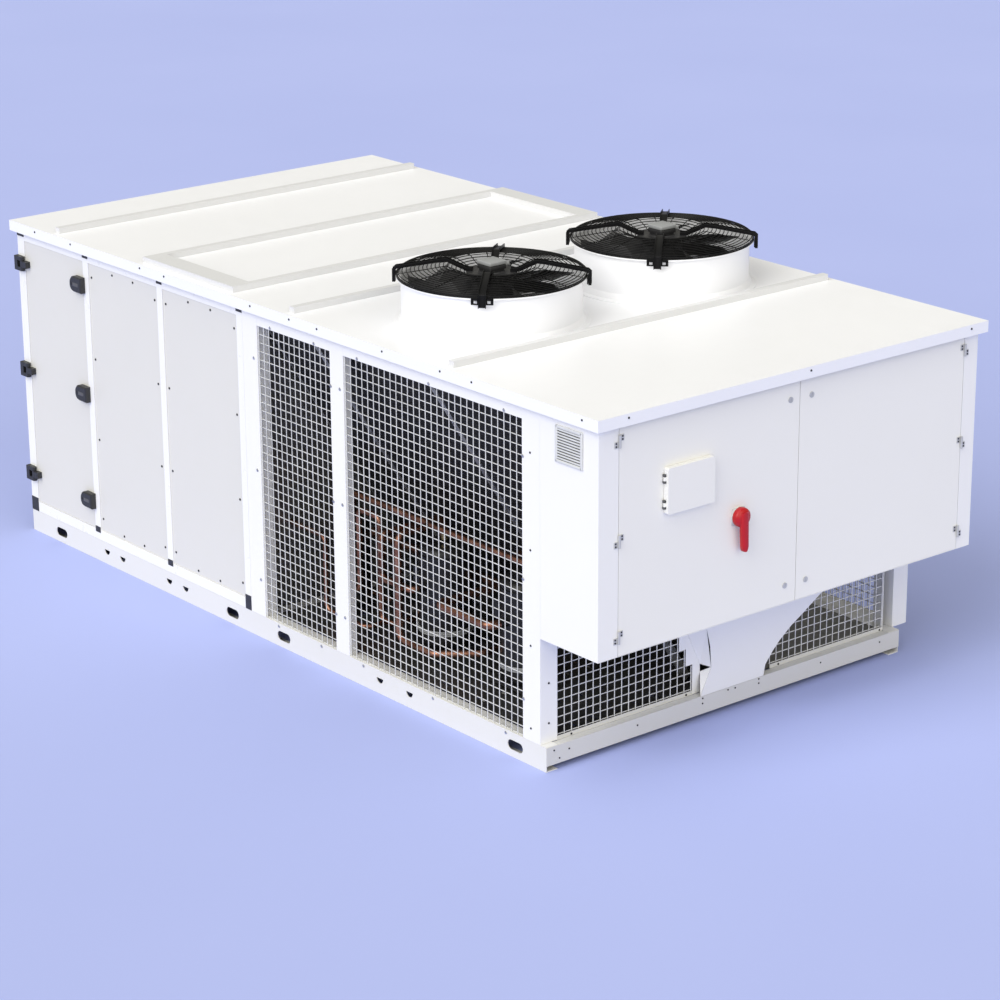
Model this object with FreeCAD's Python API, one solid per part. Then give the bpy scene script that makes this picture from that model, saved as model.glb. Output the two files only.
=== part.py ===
import FreeCAD, Part
import math
import os

os.makedirs("parts", exist_ok=True)

V = FreeCAD.Vector
X_AXIS = V(1, 0, 0)
Y_AXIS = V(0, 1, 0)
Z_AXIS = V(0, 0, 1)

# ---------------------------------------------------------------- driving sizes (mm)
# The unit is drawn with x across, y from the condenser's front posts to the rear and z from
# the bottom of the base rails. Everything is shifted by MID_Y when it is saved.
MID_Y = 1804.0
HALF_W = 1100.0
REAR_Y = 4014.0
EAVE_Z = 1574.0
ROOF_Z = 1625.0
OVERHANG = 30.0
SHEET = 3.0
ROOF_T = 1.5

RAIL_H = 112.0
RAIL_FLANGE = 62.0
RAIL_T = 4.0
RAIL_Y0 = -37.5
RIGHT_RAIL_X = 1012.0
SLOT_L = 100.0
SLOT_H = 45.0
SLOT_Y = (164.0, 1827.0, 2238.0, 3741.0)
SLOT_Z = 54.0
LIFT_Y = (888.0, 1101.0, 2630.0, 2770.0, 3180.0, 3320.0)
LIFT_R = 24.0
ANCHOR_R = 9.0
ANCHOR_Y = (300.0, 3600.0)

MESH_Z0 = 112.5
MESH_Z1 = 1512.0
MESH_PITCH = 40.0
WIRE = 4.5
POST_W = 92.0
POST_D = 112.0
MID_POST = (1321.0, 1418.0)
REAR_POST = (1966.0, 2079.0)
AHU_Y0 = 2080.0
PROFILE = 45.0
AHU_POSTS = ((2080.0, 2125.0), (2728.0, 2773.0), (3369.0, 3416.0), (3953.0, 4014.0))
AHU_Z0 = 113.0
PANEL_Z0 = 165.0
PANEL_Z1 = 1529.0
PANEL_T = 40.0

CAB_Y = -360.0
CAB_Z0 = 588.0
DOOR_Z0 = 591.0
DOOR_Z1 = 1567.0
HINGE_L = -993.0
HINGE_R = 1015.0
DOOR_GAP_X = 13.0
DOOR_T = 24.0
HINGE_Z = (673.0, 1086.0, 1507.0)

FAN_X = (-500.0, 500.0)
FAN_Y = 1030.0
FAN_R = 398.0
SHROUD_Z = 1832.0
LIP_R = 418.0
MOTOR_TOP = SHROUD_Z + 16
MOTOR_BASE = SHROUD_Z - 20
LID_HALF = 47.5
LID_TOP = SHROUD_Z + 65
BLADE_COUNT = 7

COIL_TOP = V(-1050, 0, 1500)
COIL_LOW = V(-172, 0, 124)
COIL_T = 36.0
COIL_Y0 = 130.0
COIL_Y1 = 1950.0
COIL_JOINTS = (770.0, 1590.0)

COMP_X = -700.0
COMP_Y = (560.0, 1130.0)
COMP_Z = 136.0
SHELL_R = 120.0
SHELL_H = 480.0
SHELL_T = 4.0
MOTOR_Z = 140.0
CORE_H = 110.0
SCROLL_PITCH = 30.0
SCROLL_T = 5.0
SCROLL_TURNS = 5
ORBIT_R = 9.8

RUN_GAP = 0.05
MOVE_GAP = 0.4


# ---------------------------------------------------------------- helpers
def box(x0, y0, z0, x1, y1, z1):
    return Part.makeBox(x1 - x0, y1 - y0, z1 - z0, V(x0, y0, z0))


def cyl(r, h, base, axis=Z_AXIS):
    return Part.makeCylinder(r, h, base, axis)


def ring(r_out, r_in, h, base, axis=Z_AXIS):
    return cyl(r_out, h, base, axis).cut(cyl(r_in, h, base, axis))


def fuse(shapes):
    body = shapes[0]
    if len(shapes) > 1:
        body = body.multiFuse(shapes[1:])
    return body.removeSplitter()


def moved(shape, x=0.0, y=0.0, z=0.0):
    copy = shape.copy()
    copy.translate(V(x, y, z))
    return copy


def turned(shape, angle, centre=V(0, 0, 0), axis=Z_AXIS):
    copy = shape.copy()
    copy.rotate(centre, axis, angle)
    return copy


def mirrored(shape):
    return shape.mirror(V(0, 0, 0), X_AXIS)


def prism(points, vector):
    return Part.Face(Part.makePolygon(points + [points[0]])).extrude(vector)


def tube_box(x0, y0, z0, x1, y1, z1, t=SHEET):
    """Upright rectangular tube, open at both ends."""
    return box(x0, y0, z0, x1, y1, z1).cut(box(x0 + t, y0 + t, z0, x1 - t, y1 - t, z1))


def hollow_box(x0, y0, z0, x1, y1, z1, t=1.2):
    """Closed double-skin panel with an empty core."""
    outer = box(x0, y0, z0, x1, y1, z1)
    return outer.cut(box(x0 + t, y0 + t, z0 + t, x1 - t, y1 - t, z1 - t))


def rounded_slab(x0, z0, x1, z1, r, y0, y1):
    """Plate in the XZ plane with rounded corners, from y0 to y1."""
    plate = box(x0, y0, z0, x1, y1, z1)
    edges = [e for e in plate.Edges if abs(e.tangentAt(e.FirstParameter).y) > 0.9]
    return plate.makeFillet(r, edges)


def save(name, shapes):
    solids = []
    for shape in shapes if isinstance(shapes, list) else [shapes]:
        solids.extend(moved(shape, y=-MID_Y).Solids)
    result = solids[0] if len(solids) == 1 else Part.makeCompound(solids)
    result.exportStep("parts/" + name + ".step")


def pipe(points, r_out, bend, wall=1.2):
    """Tube through the points, with a tangent arc of radius bend at each corner."""
    edges = []
    start = points[0]
    for before, corner, after in zip(points, points[1:], points[2:]):
        back = (before - corner).normalize()
        ahead = (after - corner).normalize()
        half = math.acos(max(-1.0, min(1.0, back.dot(ahead)))) / 2.0
        cut = bend / math.tan(half)
        middle = (back + ahead).normalize()
        centre = corner + middle * (bend / math.sin(half))
        first = corner + back * cut
        last = corner + ahead * cut
        edges.append(Part.LineSegment(start, first).toShape())
        edges.append(Part.Arc(first, centre - middle * bend, last).toShape())
        start = last
    edges.append(Part.LineSegment(start, points[-1]).toShape())
    path = Part.Wire(edges)
    direction = (points[1] - points[0]).normalize()
    outer = path.makePipeShell([Part.Wire(Part.makeCircle(r_out, points[0], direction))], True, True)
    inner = path.makePipeShell([Part.Wire(Part.makeCircle(r_out - wall, points[0], direction))], True, True)
    return outer.cut(inner)


# ---------------------------------------------------------------- base frame
def slot_cutter(x, y, z):
    depth = 20.0
    straight = (SLOT_L - SLOT_H) / 2.0
    middle = box(x - depth, y - straight, z - SLOT_H / 2, x + depth, y + straight, z + SLOT_H / 2)
    ends = [cyl(SLOT_H / 2, 2 * depth, V(x - depth, y + s * straight, z), X_AXIS) for s in (-1, 1)]
    return fuse([middle] + ends)


def lift_cutter(x, y):
    """Half-round hole with its flat side up."""
    depth = 20.0
    top = 74.0
    full = cyl(LIFT_R, 2 * depth, V(x - depth, y, top), X_AXIS)
    return full.common(box(x - depth, y - LIFT_R, top - LIFT_R, x + depth, y + LIFT_R, top))


def long_rail(web_x, side):
    """C channel along y. Its web is on the outside and its flanges point inwards (side)."""
    inner_x = web_x + side * RAIL_FLANGE
    x0, x1 = min(web_x, inner_x), max(web_x, inner_x)
    rail = box(x0, RAIL_Y0, 0, x1, REAR_Y, RAIL_H)
    pocket_x0 = x0 + RAIL_T if side > 0 else x0
    pocket_x1 = x1 if side > 0 else x1 - RAIL_T
    rail = rail.cut(box(pocket_x0, RAIL_Y0, RAIL_T, pocket_x1, REAR_Y, RAIL_H - RAIL_T))
    for y in SLOT_Y:
        rail = rail.cut(slot_cutter(web_x, y, SLOT_Z))
    for y in LIFT_Y:
        rail = rail.cut(lift_cutter(web_x, y))
    for y in ANCHOR_Y:
        rail = rail.cut(cyl(ANCHOR_R, RAIL_T, V(web_x + side * 36, y, 0)))
    return rail


def base_long_rails():
    return [long_rail(-HALF_W, 1), long_rail(RIGHT_RAIL_X, -1)]


FRONT_MESH_X = ((-HALF_W + POST_W + 1, -240.0), (230.0, 942.0))


def base_cross_rails():
    """Front sill across the rails' ends, strips that hold the front meshes, and the cross members."""
    inner_x0 = -HALF_W + RAIL_FLANGE + 0.5
    inner_x1 = RIGHT_RAIL_X - RAIL_FLANGE - 0.5
    sill = fuse([
        box(-HALF_W, -41, 28, RIGHT_RAIL_X, -38, 110),
        box(inner_x0, -38, 107, inner_x1, -0.5, 110),
        box(inner_x0, -38, 28, inner_x1, -12, 31),
    ])
    members = [sill]
    for x0, x1 in FRONT_MESH_X:
        members.append(box(x0, 0, 110.5, x1, 2, 129.5))
    span_x0 = -HALF_W + RAIL_T + 0.5
    span_x1 = RIGHT_RAIL_X - RAIL_T - 0.5
    for y in (520.0, 1300.0, 2040.0, 2950.0, 3930.0):
        web = box(span_x0, y, 5, span_x1, y + SHEET, 107)
        low = box(span_x0, y + SHEET, 5, span_x1, y + 40, 8)
        high = box(span_x0, y + SHEET, 104, span_x1, y + 40, 107)
        members.append(fuse([web, low, high]))
    return members


def floor_panels():
    """Condenser tray with drain slots, and the air handler floor with two duct openings."""
    tray = box(-1030, 4, 112.5, RIGHT_RAIL_X - 70, 1960, 114.5)
    tray = tray.cut(box(-1031, 3, 112, -HALF_W + POST_W + 0.5, POST_D + 0.5, 115))
    for x in range(-980, -250, 120):
        for y in range(60, 1900, 230):
            tray = tray.cut(box(x, y, 112.5, x + 14, y + 60, 114.5))
    floor = box(-1054, AHU_Y0 + 46, 166, 1054, REAR_Y - 46, 168.5)
    floor = floor.cut(cyl(DRAIN_R + 1, 10, V(0, DRAIN_Y, 162)))
    collars = []
    for x0, y0, x1, y1 in DUCTS:
        floor = floor.cut(box(x0, y0, 166, x1, y1, 168.5))
        wall = box(x0, y0, 20, x1, y1, 166).cut(box(x0 + 2, y0 + 2, 20, x1 - 2, y1 - 2, 166))
        flange = box(x0 - 30, y0 - 30, 20, x1 + 30, y1 + 30, 22).cut(box(x0, y0, 20, x1, y1, 22))
        collars.append(fuse([wall, flange]))
    return [tray, floor] + collars


DUCTS = ((-900.0, 2170.0, -100.0, 2670.0), (285.0, 3440.0, 905.0, 3890.0))


# ---------------------------------------------------------------- condenser frame
def condenser_frame():
    posts = [
        tube_box(-HALF_W, 0, RAIL_H + 0.5, -HALF_W + POST_W, POST_D, EAVE_Z),
        tube_box(-HALF_W, MID_POST[0], RAIL_H + 0.5, -HALF_W + 40, MID_POST[1], EAVE_Z),
        tube_box(-HALF_W, REAR_POST[0], RAIL_H + 0.5, -HALF_W + 60, REAR_POST[1], EAVE_Z),
    ]
    posts += [mirrored(post) for post in posts]
    parts = posts
    gap = 0.5
    for x0, x1 in ((-HALF_W, -HALF_W + 30), (HALF_W - 30, HALF_W)):
        for y0, y1 in MESH_SPANS:
            parts.append(tube_beam_y(x0, y0 + gap, MESH_Z1 + gap, x1, y1 - gap, EAVE_Z))
    x0, x1 = -HALF_W + POST_W + gap, HALF_W - POST_W - gap
    parts.append(box(x0, 0, EAVE_Z - 50, x1, 30, EAVE_Z).cut(box(x0, 3, EAVE_Z - 47, x1, 27, EAVE_Z - 3)))
    jamb = box(943, 1, RAIL_H + 3, 946, 60, CAB_Z0 - 10)
    parts.append(jamb)
    right_sill = box(RIGHT_RAIL_X + 1, POST_D + 1, 84, HALF_W, 1965, 109)
    parts.append(right_sill)
    return parts


MESH_SPANS = ((POST_D, MID_POST[0]), (MID_POST[1], REAR_POST[0]))


def tube_beam_y(x0, y0, z0, x1, y1, z1, t=SHEET):
    return box(x0, y0, z0, x1, y1, z1).cut(box(x0 + t, y0, z0 + t, x1 - t, y1, z1 - t))


def mesh_plate(u0, v0, u1, v1):
    """Welded mesh as one plate: (u, v) rectangle with square holes, WIRE thick, on z = 0."""
    cols = round((u1 - u0 - WIRE) / MESH_PITCH)
    rows = round((v1 - v0 - WIRE) / MESH_PITCH)
    du = (u1 - u0 - WIRE) / cols
    dv = (v1 - v0 - WIRE) / rows
    wires = [Part.makePolygon([V(u0, v0, 0), V(u1, v0, 0), V(u1, v1, 0), V(u0, v1, 0), V(u0, v0, 0)])]
    for i in range(cols):
        for j in range(rows):
            a = u0 + WIRE + i * du
            b = v0 + WIRE + j * dv
            c = a + du - WIRE
            d = b + dv - WIRE
            wires.append(Part.makePolygon([V(a, b, 0), V(a, d, 0), V(c, d, 0), V(c, b, 0), V(a, b, 0)]))
    return Part.Face(wires).extrude(V(0, 0, WIRE))


def side_meshes(side):
    """Meshes of one side: u runs along y and v runs up."""
    plates = []
    for y0, y1 in MESH_SPANS:
        plate = mesh_plate(y0 + 1, MESH_Z0, y1 - 1, MESH_Z1)
        plate = turned(plate, 90, axis=X_AXIS)
        plate = turned(plate, 90, axis=Z_AXIS)
        x = side * (HALF_W - 6) - (WIRE if side > 0 else 0)
        plates.append(moved(plate, x=x))
    return plates


def mesh_along_x(x0, x1, z0, z1, y):
    plate = turned(mesh_plate(x0, z0, x1, z1), 90, axis=X_AXIS)
    return moved(plate, y=y + WIRE)


def front_meshes():
    top = 560.0
    return [mesh_along_x(x0, x1, 130, top, 3) for x0, x1 in FRONT_MESH_X]


def front_centre_panel():
    """Cowl over the foot of the coil bank: a white face and folded flanks back to the mesh."""
    face = [(-224, 111), (152, 111), (162, 160), (205, 212), (246, 252), (318, 306), (395, 350), (462, 392),
            (530, 432), (530, 586), (-215, 586), (-193, 414), (-172, 329), (-164, 232)]
    white = prism([V(x, -40.5, z) for x, z in face], V(0, 2, 0))
    tip = V(-164, -38, 232)
    bend = V(-193, -38, 414)
    fold_low = V(-196, -1.6, 244)
    fold_high = V(-265, -1.6, 390)
    wall_top = V(-265, -1.6, 586)
    face_top = V(-215, -38, 586)
    upper = ((fold_high, bend, fold_low), (bend, tip, fold_low), (fold_high, wall_top, bend), (wall_top, face_top, bend))
    flanks = [
        fuse([prism(list(corners), V(0, 1.5, 0)) for corners in upper]),
        prism([V(-194, -1.6, 208), tip, V(-224, -38, 112)], V(0, 1.5, 0)),
    ]
    steps = [(-318, 560), (-318, 332), (-278, 332), (-278, 252), (-238.5, 252), (-238.5, 112), (-191, 112),
             (-194, 208), (-196, 244), (-265, 390), (-265, 560)]
    strip = prism([V(x, 0, z) for x, z in steps], V(0, 2, 0))
    return [white, strip] + flanks


def ahu_frame():
    beams = []
    for y0, y1 in AHU_POSTS:
        post = tube_box(-HALF_W, y0, PANEL_Z0, -HALF_W + PROFILE, y1, PANEL_Z1)
        beams += [post, mirrored(post)]
    for z0, z1 in ((AHU_Z0, PANEL_Z0 - 0.2), (PANEL_Z1 + 0.2, EAVE_Z)):
        beam = tube_beam_y(-HALF_W, AHU_Y0, z0, -HALF_W + PROFILE, REAR_Y, z1)
        beams += [beam, mirrored(beam)]
        for y0 in (AHU_Y0, REAR_Y - PROFILE):
            x0, x1 = -HALF_W + PROFILE + 0.5, HALF_W - PROFILE - 0.5
            cross = box(x0, y0, z0, x1, y0 + PROFILE, z1)
            core = box(x0, y0 + SHEET, z0 + SHEET, x1, y0 + PROFILE - SHEET, z1 - SHEET)
            beams.append(cross.cut(core))
    for x in REAR_MULLIONS:
        beams.append(tube_box(x - 22, REAR_Y - PROFILE, PANEL_Z0, x + 22, REAR_Y, PANEL_Z1))
    return beams


REAR_MULLIONS = (-352.0, 352.0)


def plastic_caps():
    """Corner caps at the foot of the air handler posts, tee caps, and the roof plug."""
    caps = []
    for y0, y1 in (AHU_POSTS[0], AHU_POSTS[3]):
        cap = box(-HALF_W - 2, y0, AHU_Z0 - 0.5, -HALF_W - 0.1, y1, 183)
        caps += [cap, mirrored(cap)]
    for y0, y1 in AHU_POSTS[1:3]:
        foot = box(-HALF_W - 2, y0 + 2, 150, -HALF_W - 0.1, y1 - 2, 180)
        caps += [foot, mirrored(foot)]
    for y0, y1 in AHU_POSTS:
        top = box(-HALF_W - 2, y0, 1548, -HALF_W - 0.1, y1, 1572)
        caps += [top, mirrored(top)]
    caps.append(cyl(20, 6, V(-93, 624, ROOF_Z)))
    return caps


def insulated_panels():
    panels = []
    gap = 1.0
    z0, z1 = PANEL_Z0 + gap, PANEL_Z1 - gap
    recess = 4.0
    bays = [(AHU_POSTS[i][1] + gap, AHU_POSTS[i + 1][0] - gap) for i in range(3)]
    for i, (y0, y1) in enumerate(bays):
        panel = hollow_box(-HALF_W + recess, y0, z0, -HALF_W + PANEL_T, y1, z1)
        if i < 2:
            panels.append(panel)
        panels.append(mirrored(panel))
    stops = [-HALF_W + PROFILE] + [x + s * 22 for x in REAR_MULLIONS for s in (-1, 1)] + [HALF_W - PROFILE]
    for x0, x1 in zip(stops[::2], stops[1::2]):
        panels.append(hollow_box(x0 + gap, REAR_Y - PANEL_T, z0, x1 - gap, REAR_Y - recess, z1))
    return panels


def bulkheads():
    """Wall between condenser and air handler, wall behind the mesh at the fans, and the plug fan wall."""
    wall = box(-1038, 2030, RAIL_H + 4, 1038, 2032, EAVE_Z - 4)
    fan_wall = box(-1052, FAN_WALL_Y, 172, 1052, FAN_WALL_Y + 2, 1528)
    fan_wall = fan_wall.cut(cyl(PLUG_R - 60, 4, V(0, FAN_WALL_Y, PLUG_Z), Y_AXIS))
    cone = ring(PLUG_R - 60, PLUG_R - 66, 60, V(0, FAN_WALL_Y, PLUG_Z), Y_AXIS)
    pan = box(-1000, 2800, 176, 1000, 3160, 216).cut(box(-997, 2803, 179, 997, 3157, 216))
    drain = ring(DRAIN_R, DRAIN_R - 2, 83, V(0, DRAIN_Y, 96))
    pan = fuse([pan, drain]).cut(cyl(DRAIN_R - 2, 90, V(0, DRAIN_Y, 95)))
    return [wall, fan_wall, cone, pan]


FAN_WALL_Y = 3340.0
DRAIN_Y = 3080.0
DRAIN_R = 16.0
PLUG_R = 355.0
PLUG_Z = 850.0


def supply_impeller():
    """Plug fan wheel on the motor's shaft: back disc, shroud ring and seven swept blades."""
    y0 = FAN_WALL_Y + 64
    depth = 190.0
    shroud = ring(PLUG_R, PLUG_R - 58, 4, V(0, y0, PLUG_Z), Y_AXIS)
    disc = cyl(PLUG_R, 5, V(0, y0 + depth, PLUG_Z), Y_AXIS)
    parts = [shroud, disc, cyl(60, 60, V(0, y0 + depth - 50, PLUG_Z), Y_AXIS)]
    for i in range(7):
        blade = box(190, y0 + 2, PLUG_Z - 3, 350, y0 + depth + 2, PLUG_Z + 3)
        blade = turned(blade, 38, V(190, 0, PLUG_Z), Y_AXIS)
        blade = blade.common(cyl(PLUG_R - 2, depth + 10, V(0, y0, PLUG_Z), Y_AXIS))
        parts.append(turned(blade, 360.0 / 7 * i, V(0, 0, PLUG_Z), Y_AXIS))
    parts.append(cyl(19, 150, V(0, y0 + depth, PLUG_Z), Y_AXIS))
    return fuse(parts)


def supply_motor():
    y0 = FAN_WALL_Y + 64 + 190 + 12
    body = cyl(120, 290, V(0, y0, PLUG_Z), Y_AXIS).cut(cyl(19 + RUN_GAP, 160, V(0, y0, PLUG_Z), Y_AXIS))
    fin = box(-4, y0 + 20, PLUG_Z + 110, 4, y0 + 270, PLUG_Z + 134)
    ribs = [turned(fin, a, V(0, 0, PLUG_Z), Y_AXIS) for a in range(0, 360, 20)]
    box_top = box(-60, y0 + 60, PLUG_Z + 118, 60, y0 + 180, PLUG_Z + 190)
    legs = [box(s * 90 - 30, y0 + 20, 430, s * 90 + 30, y0 + 260, PLUG_Z - 60) for s in (-1, 1)]
    table = box(-240, y0 - 4, 418, 240, y0 + 286, 430)
    feet = [box(x - 20, y, 170, x + 20, y + 40, 418) for x in (-210, 210) for y in (y0, y0 + 240)]
    return [fuse([body, box_top, table] + ribs + legs + feet)]


def air_filters():
    """Bag filter frames standing in front of the coil."""
    filters = []
    for i in range(3):
        x0 = -1040 + i * 694
        frame = box(x0, 2700, 174, x0 + 690, 2722, 1526).cut(box(x0 + 22, 2700, 196, x0 + 668, 2722, 1504))
        media = []
        for k in range(16):
            x = x0 + 24 + k * 40
            pleat = prism([V(x, 2702, 198), V(x + 20, 2720, 198), V(x + 40, 2702, 198), V(x + 40, 2705, 198),
                           V(x + 20, 2722, 198), V(x, 2705, 198)], V(0, 0, 1304))
            media.append(pleat.common(box(x0 + 22, 2700, 196, x0 + 668, 2722, 1504)))
        filters.append(frame)
        filters.append(fuse(media))
    return filters


def evaporator_coil():
    """Slanted finned block over the drain pan, hollow so that it weighs what fins and tubes weigh."""
    depth, lean, z0, z1, skin = 130.0, 180.0, 222.0, 1500.0, 8.0
    slab = leaning_block(-985, 985, 2830, depth, lean, z0, z1)
    core = leaning_block(-985 + skin, 985 - skin, 2830 + skin, depth - 2 * skin, lean, z0 + skin, z1 - skin)
    return [slab.cut(core)]


def leaning_block(x0, x1, y, depth, lean, z0, z1):
    return prism([V(x0, y, z0), V(x0, y + depth, z0), V(x0, y + depth + lean, z1), V(x0, y + lean, z1)],
                 V(x1 - x0, 0, 0))


# ---------------------------------------------------------------- roof
def roof_sheet(y0, y1, x0=-HALF_W - OVERHANG, x1=HALF_W + OVERHANG, front=False, rear=False):
    t = ROOF_T
    top = box(x0, y0, ROOF_Z - t, x1, y1, ROOF_Z)
    sides = [box(x0, y0, EAVE_Z, x0 + t, y1, ROOF_Z), box(x1 - t, y0, EAVE_Z, x1, y1, ROOF_Z)]
    # inward lips that rest on the frame's top
    sides += [box(x0, y0, EAVE_Z, x0 + 90, y1, EAVE_Z + t), box(x1 - 90, y0, EAVE_Z, x1, y1, EAVE_Z + t)]
    if front:
        sides.append(box(x0, y0, EAVE_Z, x1, y0 + t, ROOF_Z))
    if rear:
        sides.append(box(x0, y1 - t, EAVE_Z, x1, y1, ROOF_Z))
    return fuse([top] + sides)


def roof_sheets():
    gap = 0.2
    stops = (CAB_Y - OVERHANG, 555.0, 1681.0, 2150.0, 2850.0, 3620.0, REAR_Y + 20.0)
    sheets = []
    for i, (y0, y1) in enumerate(zip(stops, stops[1:])):
        sheet = roof_sheet(y0, y1 - (gap if i < 5 else 0), front=(i == 0), rear=(i == 5))
        if i == 1:
            for x in FAN_X:
                sheet = sheet.cut(cyl(FAN_R - 12, 20, V(x, FAN_Y, ROOF_Z - 10)))
        sheets.append(sheet)
    return sheets


SEAM_H = 28.0
SEAM_W = 34.0


def seam(y, x0, x1):
    """Folded cover strip over a roof joint, open below."""
    t = ROOF_T
    strip = box(x0, y, ROOF_Z, x1, y + SEAM_W, ROOF_Z + SEAM_H)
    return strip.cut(box(x0 + t, y + t, ROOF_Z, x1 - t, y + SEAM_W - t, ROOF_Z + SEAM_H - t))


def roof_seams():
    full = HALF_W - 5
    seams = [seam(3620, -full, full), seam(1681, -full, full), seam(555, -full, full)]
    return seams + tray_rims(full)


def tray_rims(full):
    """Four folded strips that frame the sunken roof tray."""
    t = ROOF_T
    y0, y1 = 2150 + SEAM_W, 2850
    rims = [seam(2150, -full, full), seam(y1, -full, full)]
    rim = box(-full, y0, ROOF_Z, -full + 110, y1, ROOF_Z + SEAM_H)
    rim = rim.cut(box(-full + t, y0, ROOF_Z, -full + 110 - t, y1, ROOF_Z + SEAM_H - t))
    return rims + [rim, mirrored(rim)]


# ---------------------------------------------------------------- condenser fans
def fan_shroud(x):
    """Spun ring with a flared foot on the roof and a rolled lip, turned about the fan axis."""
    inner = FAN_R - 4
    top = SHROUD_Z
    profile = [V(inner, 0, ROOF_Z), V(FAN_R + 34, 0, ROOF_Z), V(FAN_R + 34, 0, ROOF_Z + 3),
               V(FAN_R + 14, 0, ROOF_Z + 9), V(FAN_R, 0, ROOF_Z + 34), V(FAN_R, 0, top - 14),
               V(LIP_R, 0, top - 5), V(LIP_R, 0, top), V(inner + 6, 0, top), V(inner, 0, top - 10)]
    face = Part.Face(Part.makePolygon(profile + [profile[0]]))
    return moved(face.revolve(V(0, 0, 0), Z_AXIS, 360), x=x, y=FAN_Y)


def guard_height(r):
    """Height of the guard's middle line at radius r: a low dome that dips towards the motor."""
    crest_r, crest = 200.0, SHROUD_Z + 44
    if r > crest_r:
        return crest - (r - crest_r) * 0.1376
    return crest - (crest_r - r) * 0.41


GUARD_RADII = tuple(range(120, 413, 26))


def fan_guard(x):
    """Concentric rings and thin radial fins joined into one grille."""
    size = 5.0
    parts = []
    for r in GUARD_RADII:
        parts.append(ring(r + size / 2, r - size / 2, size, V(0, 0, guard_height(r) - size / 2)))
    parts.append(ring(LIP_R, LIP_R - 5, 14, V(0, 0, SHROUD_Z)))
    for i in range(12):
        radii = (118.0, 200.0, LIP_R - 3)
        low = [V(r, -2, guard_height(r) - 2) for r in radii]
        high = [V(r, -2, guard_height(r) + 2) for r in reversed(radii)]
        parts.append(turned(prism(low + high, V(0, 4, 0)), i * 30))
    return moved(fuse(parts), x=x, y=FAN_Y)


def fan_arm(angle):
    """Bent channel from the shroud's rim over the guard and down to the motor's flange."""
    out = LIP_R + 4
    z = SHROUD_Z
    spine = [(82, MOTOR_TOP), (112, MOTOR_TOP), (200, z + 57), (out, z + 19), (out, z - 40), (out + 14, z - 40),
             (out + 14, z + 26), (out + 6, z + 33), (196, z + 71), (106, MOTOR_TOP + 14), (82, MOTOR_TOP + 14)]
    bar = prism([V(r, -17, h) for r, h in spine], V(0, 34, 0))
    foot = box(LIP_R + 0.2, -48, z - 26, out, 48, z + 2)
    for y in (-36, 22):
        foot = foot.cut(box(LIP_R - 2, y, z - 20, out + 2, y + 14, z - 10))
    return turned(fuse([bar, foot]), angle)


def fan_arms():
    return [moved(fan_arm(45 + 90 * i), x=x, y=FAN_Y) for x in FAN_X for i in range(4)]


def fan_motor(x):
    """Stator with its fixed shaft below, cable gland and terminal box on top."""
    stator = cyl(78, MOTOR_TOP - MOTOR_BASE, V(0, 0, MOTOR_BASE))
    flange = cyl(112, 8, V(0, 0, MOTOR_TOP - 8))
    shaft = cyl(12, 90, V(0, 0, MOTOR_BASE - 90))
    lid = box(-LID_HALF, -LID_HALF, MOTOR_TOP + 10, LID_HALF, LID_HALF, LID_TOP)
    neck = box(-40, -40, MOTOR_TOP, 40, 40, MOTOR_TOP + 10)
    gland = cyl(9, 30, V(LID_HALF, -20, MOTOR_TOP + 24), X_AXIS)
    return moved(fuse([stator, flange, shaft, lid, neck, gland]), x=x, y=FAN_Y)


def fan_motors():
    return [fan_motor(x) for x in FAN_X]


def blade_section(r, start, chord, pitch, z):
    """Thin four-cornered section of a blade on the cylinder of radius r."""
    half_t = 1.6
    corners = []
    for along, up in ((0, -half_t), (chord, -half_t), (chord, half_t), (0, half_t)):
        angle = start + along * math.cos(pitch) / r
        height = z - along * math.sin(pitch) + up
        corners.append(V(r * math.cos(angle), r * math.sin(angle), height))
    return Part.makePolygon(corners + [corners[0]])


def fan_rotor(x):
    """Hub cup of the external rotor motor with sickle blades."""
    top = MOTOR_BASE - 1
    hub = cyl(95, 84, V(0, 0, top - 84)).cut(cyl(12 + RUN_GAP, 84, V(0, 0, top - 84)))
    stations = ((88, 0.00, 120, 0.70), (180, 0.05, 165, 0.55), (280, -0.12, 205, 0.44), (374, -0.42, 215, 0.36))
    sections = [blade_section(r, start, chord, pitch, top - 2) for r, start, chord, pitch in stations]
    blade = Part.makeLoft(sections, True, True)
    parts = [hub] + [turned(blade, 360.0 / BLADE_COUNT * i) for i in range(BLADE_COUNT)]
    return moved(fuse(parts), x=x, y=FAN_Y)


# ---------------------------------------------------------------- coils
def coil_slab(y0, y1, extra=0.0):
    along = (COIL_LOW - COIL_TOP).normalize()
    inward = V(-along.z, 0, along.x) * (COIL_T + extra)
    outward = V(along.z, 0, -along.x) * extra
    top = COIL_TOP + along * max(0.0, -extra)
    low = COIL_LOW - along * max(0.0, -extra)
    points = [top + outward, low + outward, low + inward, top + inward]
    return prism([V(p.x, y0, p.z) for p in points], V(0, y1 - y0, 0))


def condenser_coils():
    stops = [COIL_Y0]
    for y in COIL_JOINTS:
        stops += [y - 16, y + 16]
    stops.append(COIL_Y1)
    slabs = [coil_slab(y0, y1).cut(coil_slab(y0 + 3, y1 - 3, -3)) for y0, y1 in zip(stops[::2], stops[1::2])]
    return slabs + [mirrored(s) for s in slabs]


def coil_headers():
    strips = [coil_slab(y - 15.5, y + 15.5, 4) for y in COIL_JOINTS]
    ends = [coil_slab(COIL_Y0 - 14, COIL_Y0 - 0.5, 2), coil_slab(COIL_Y1 + 0.5, COIL_Y1 + 14, 2)]
    all_left = strips + ends
    return all_left + [mirrored(s) for s in all_left]


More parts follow.
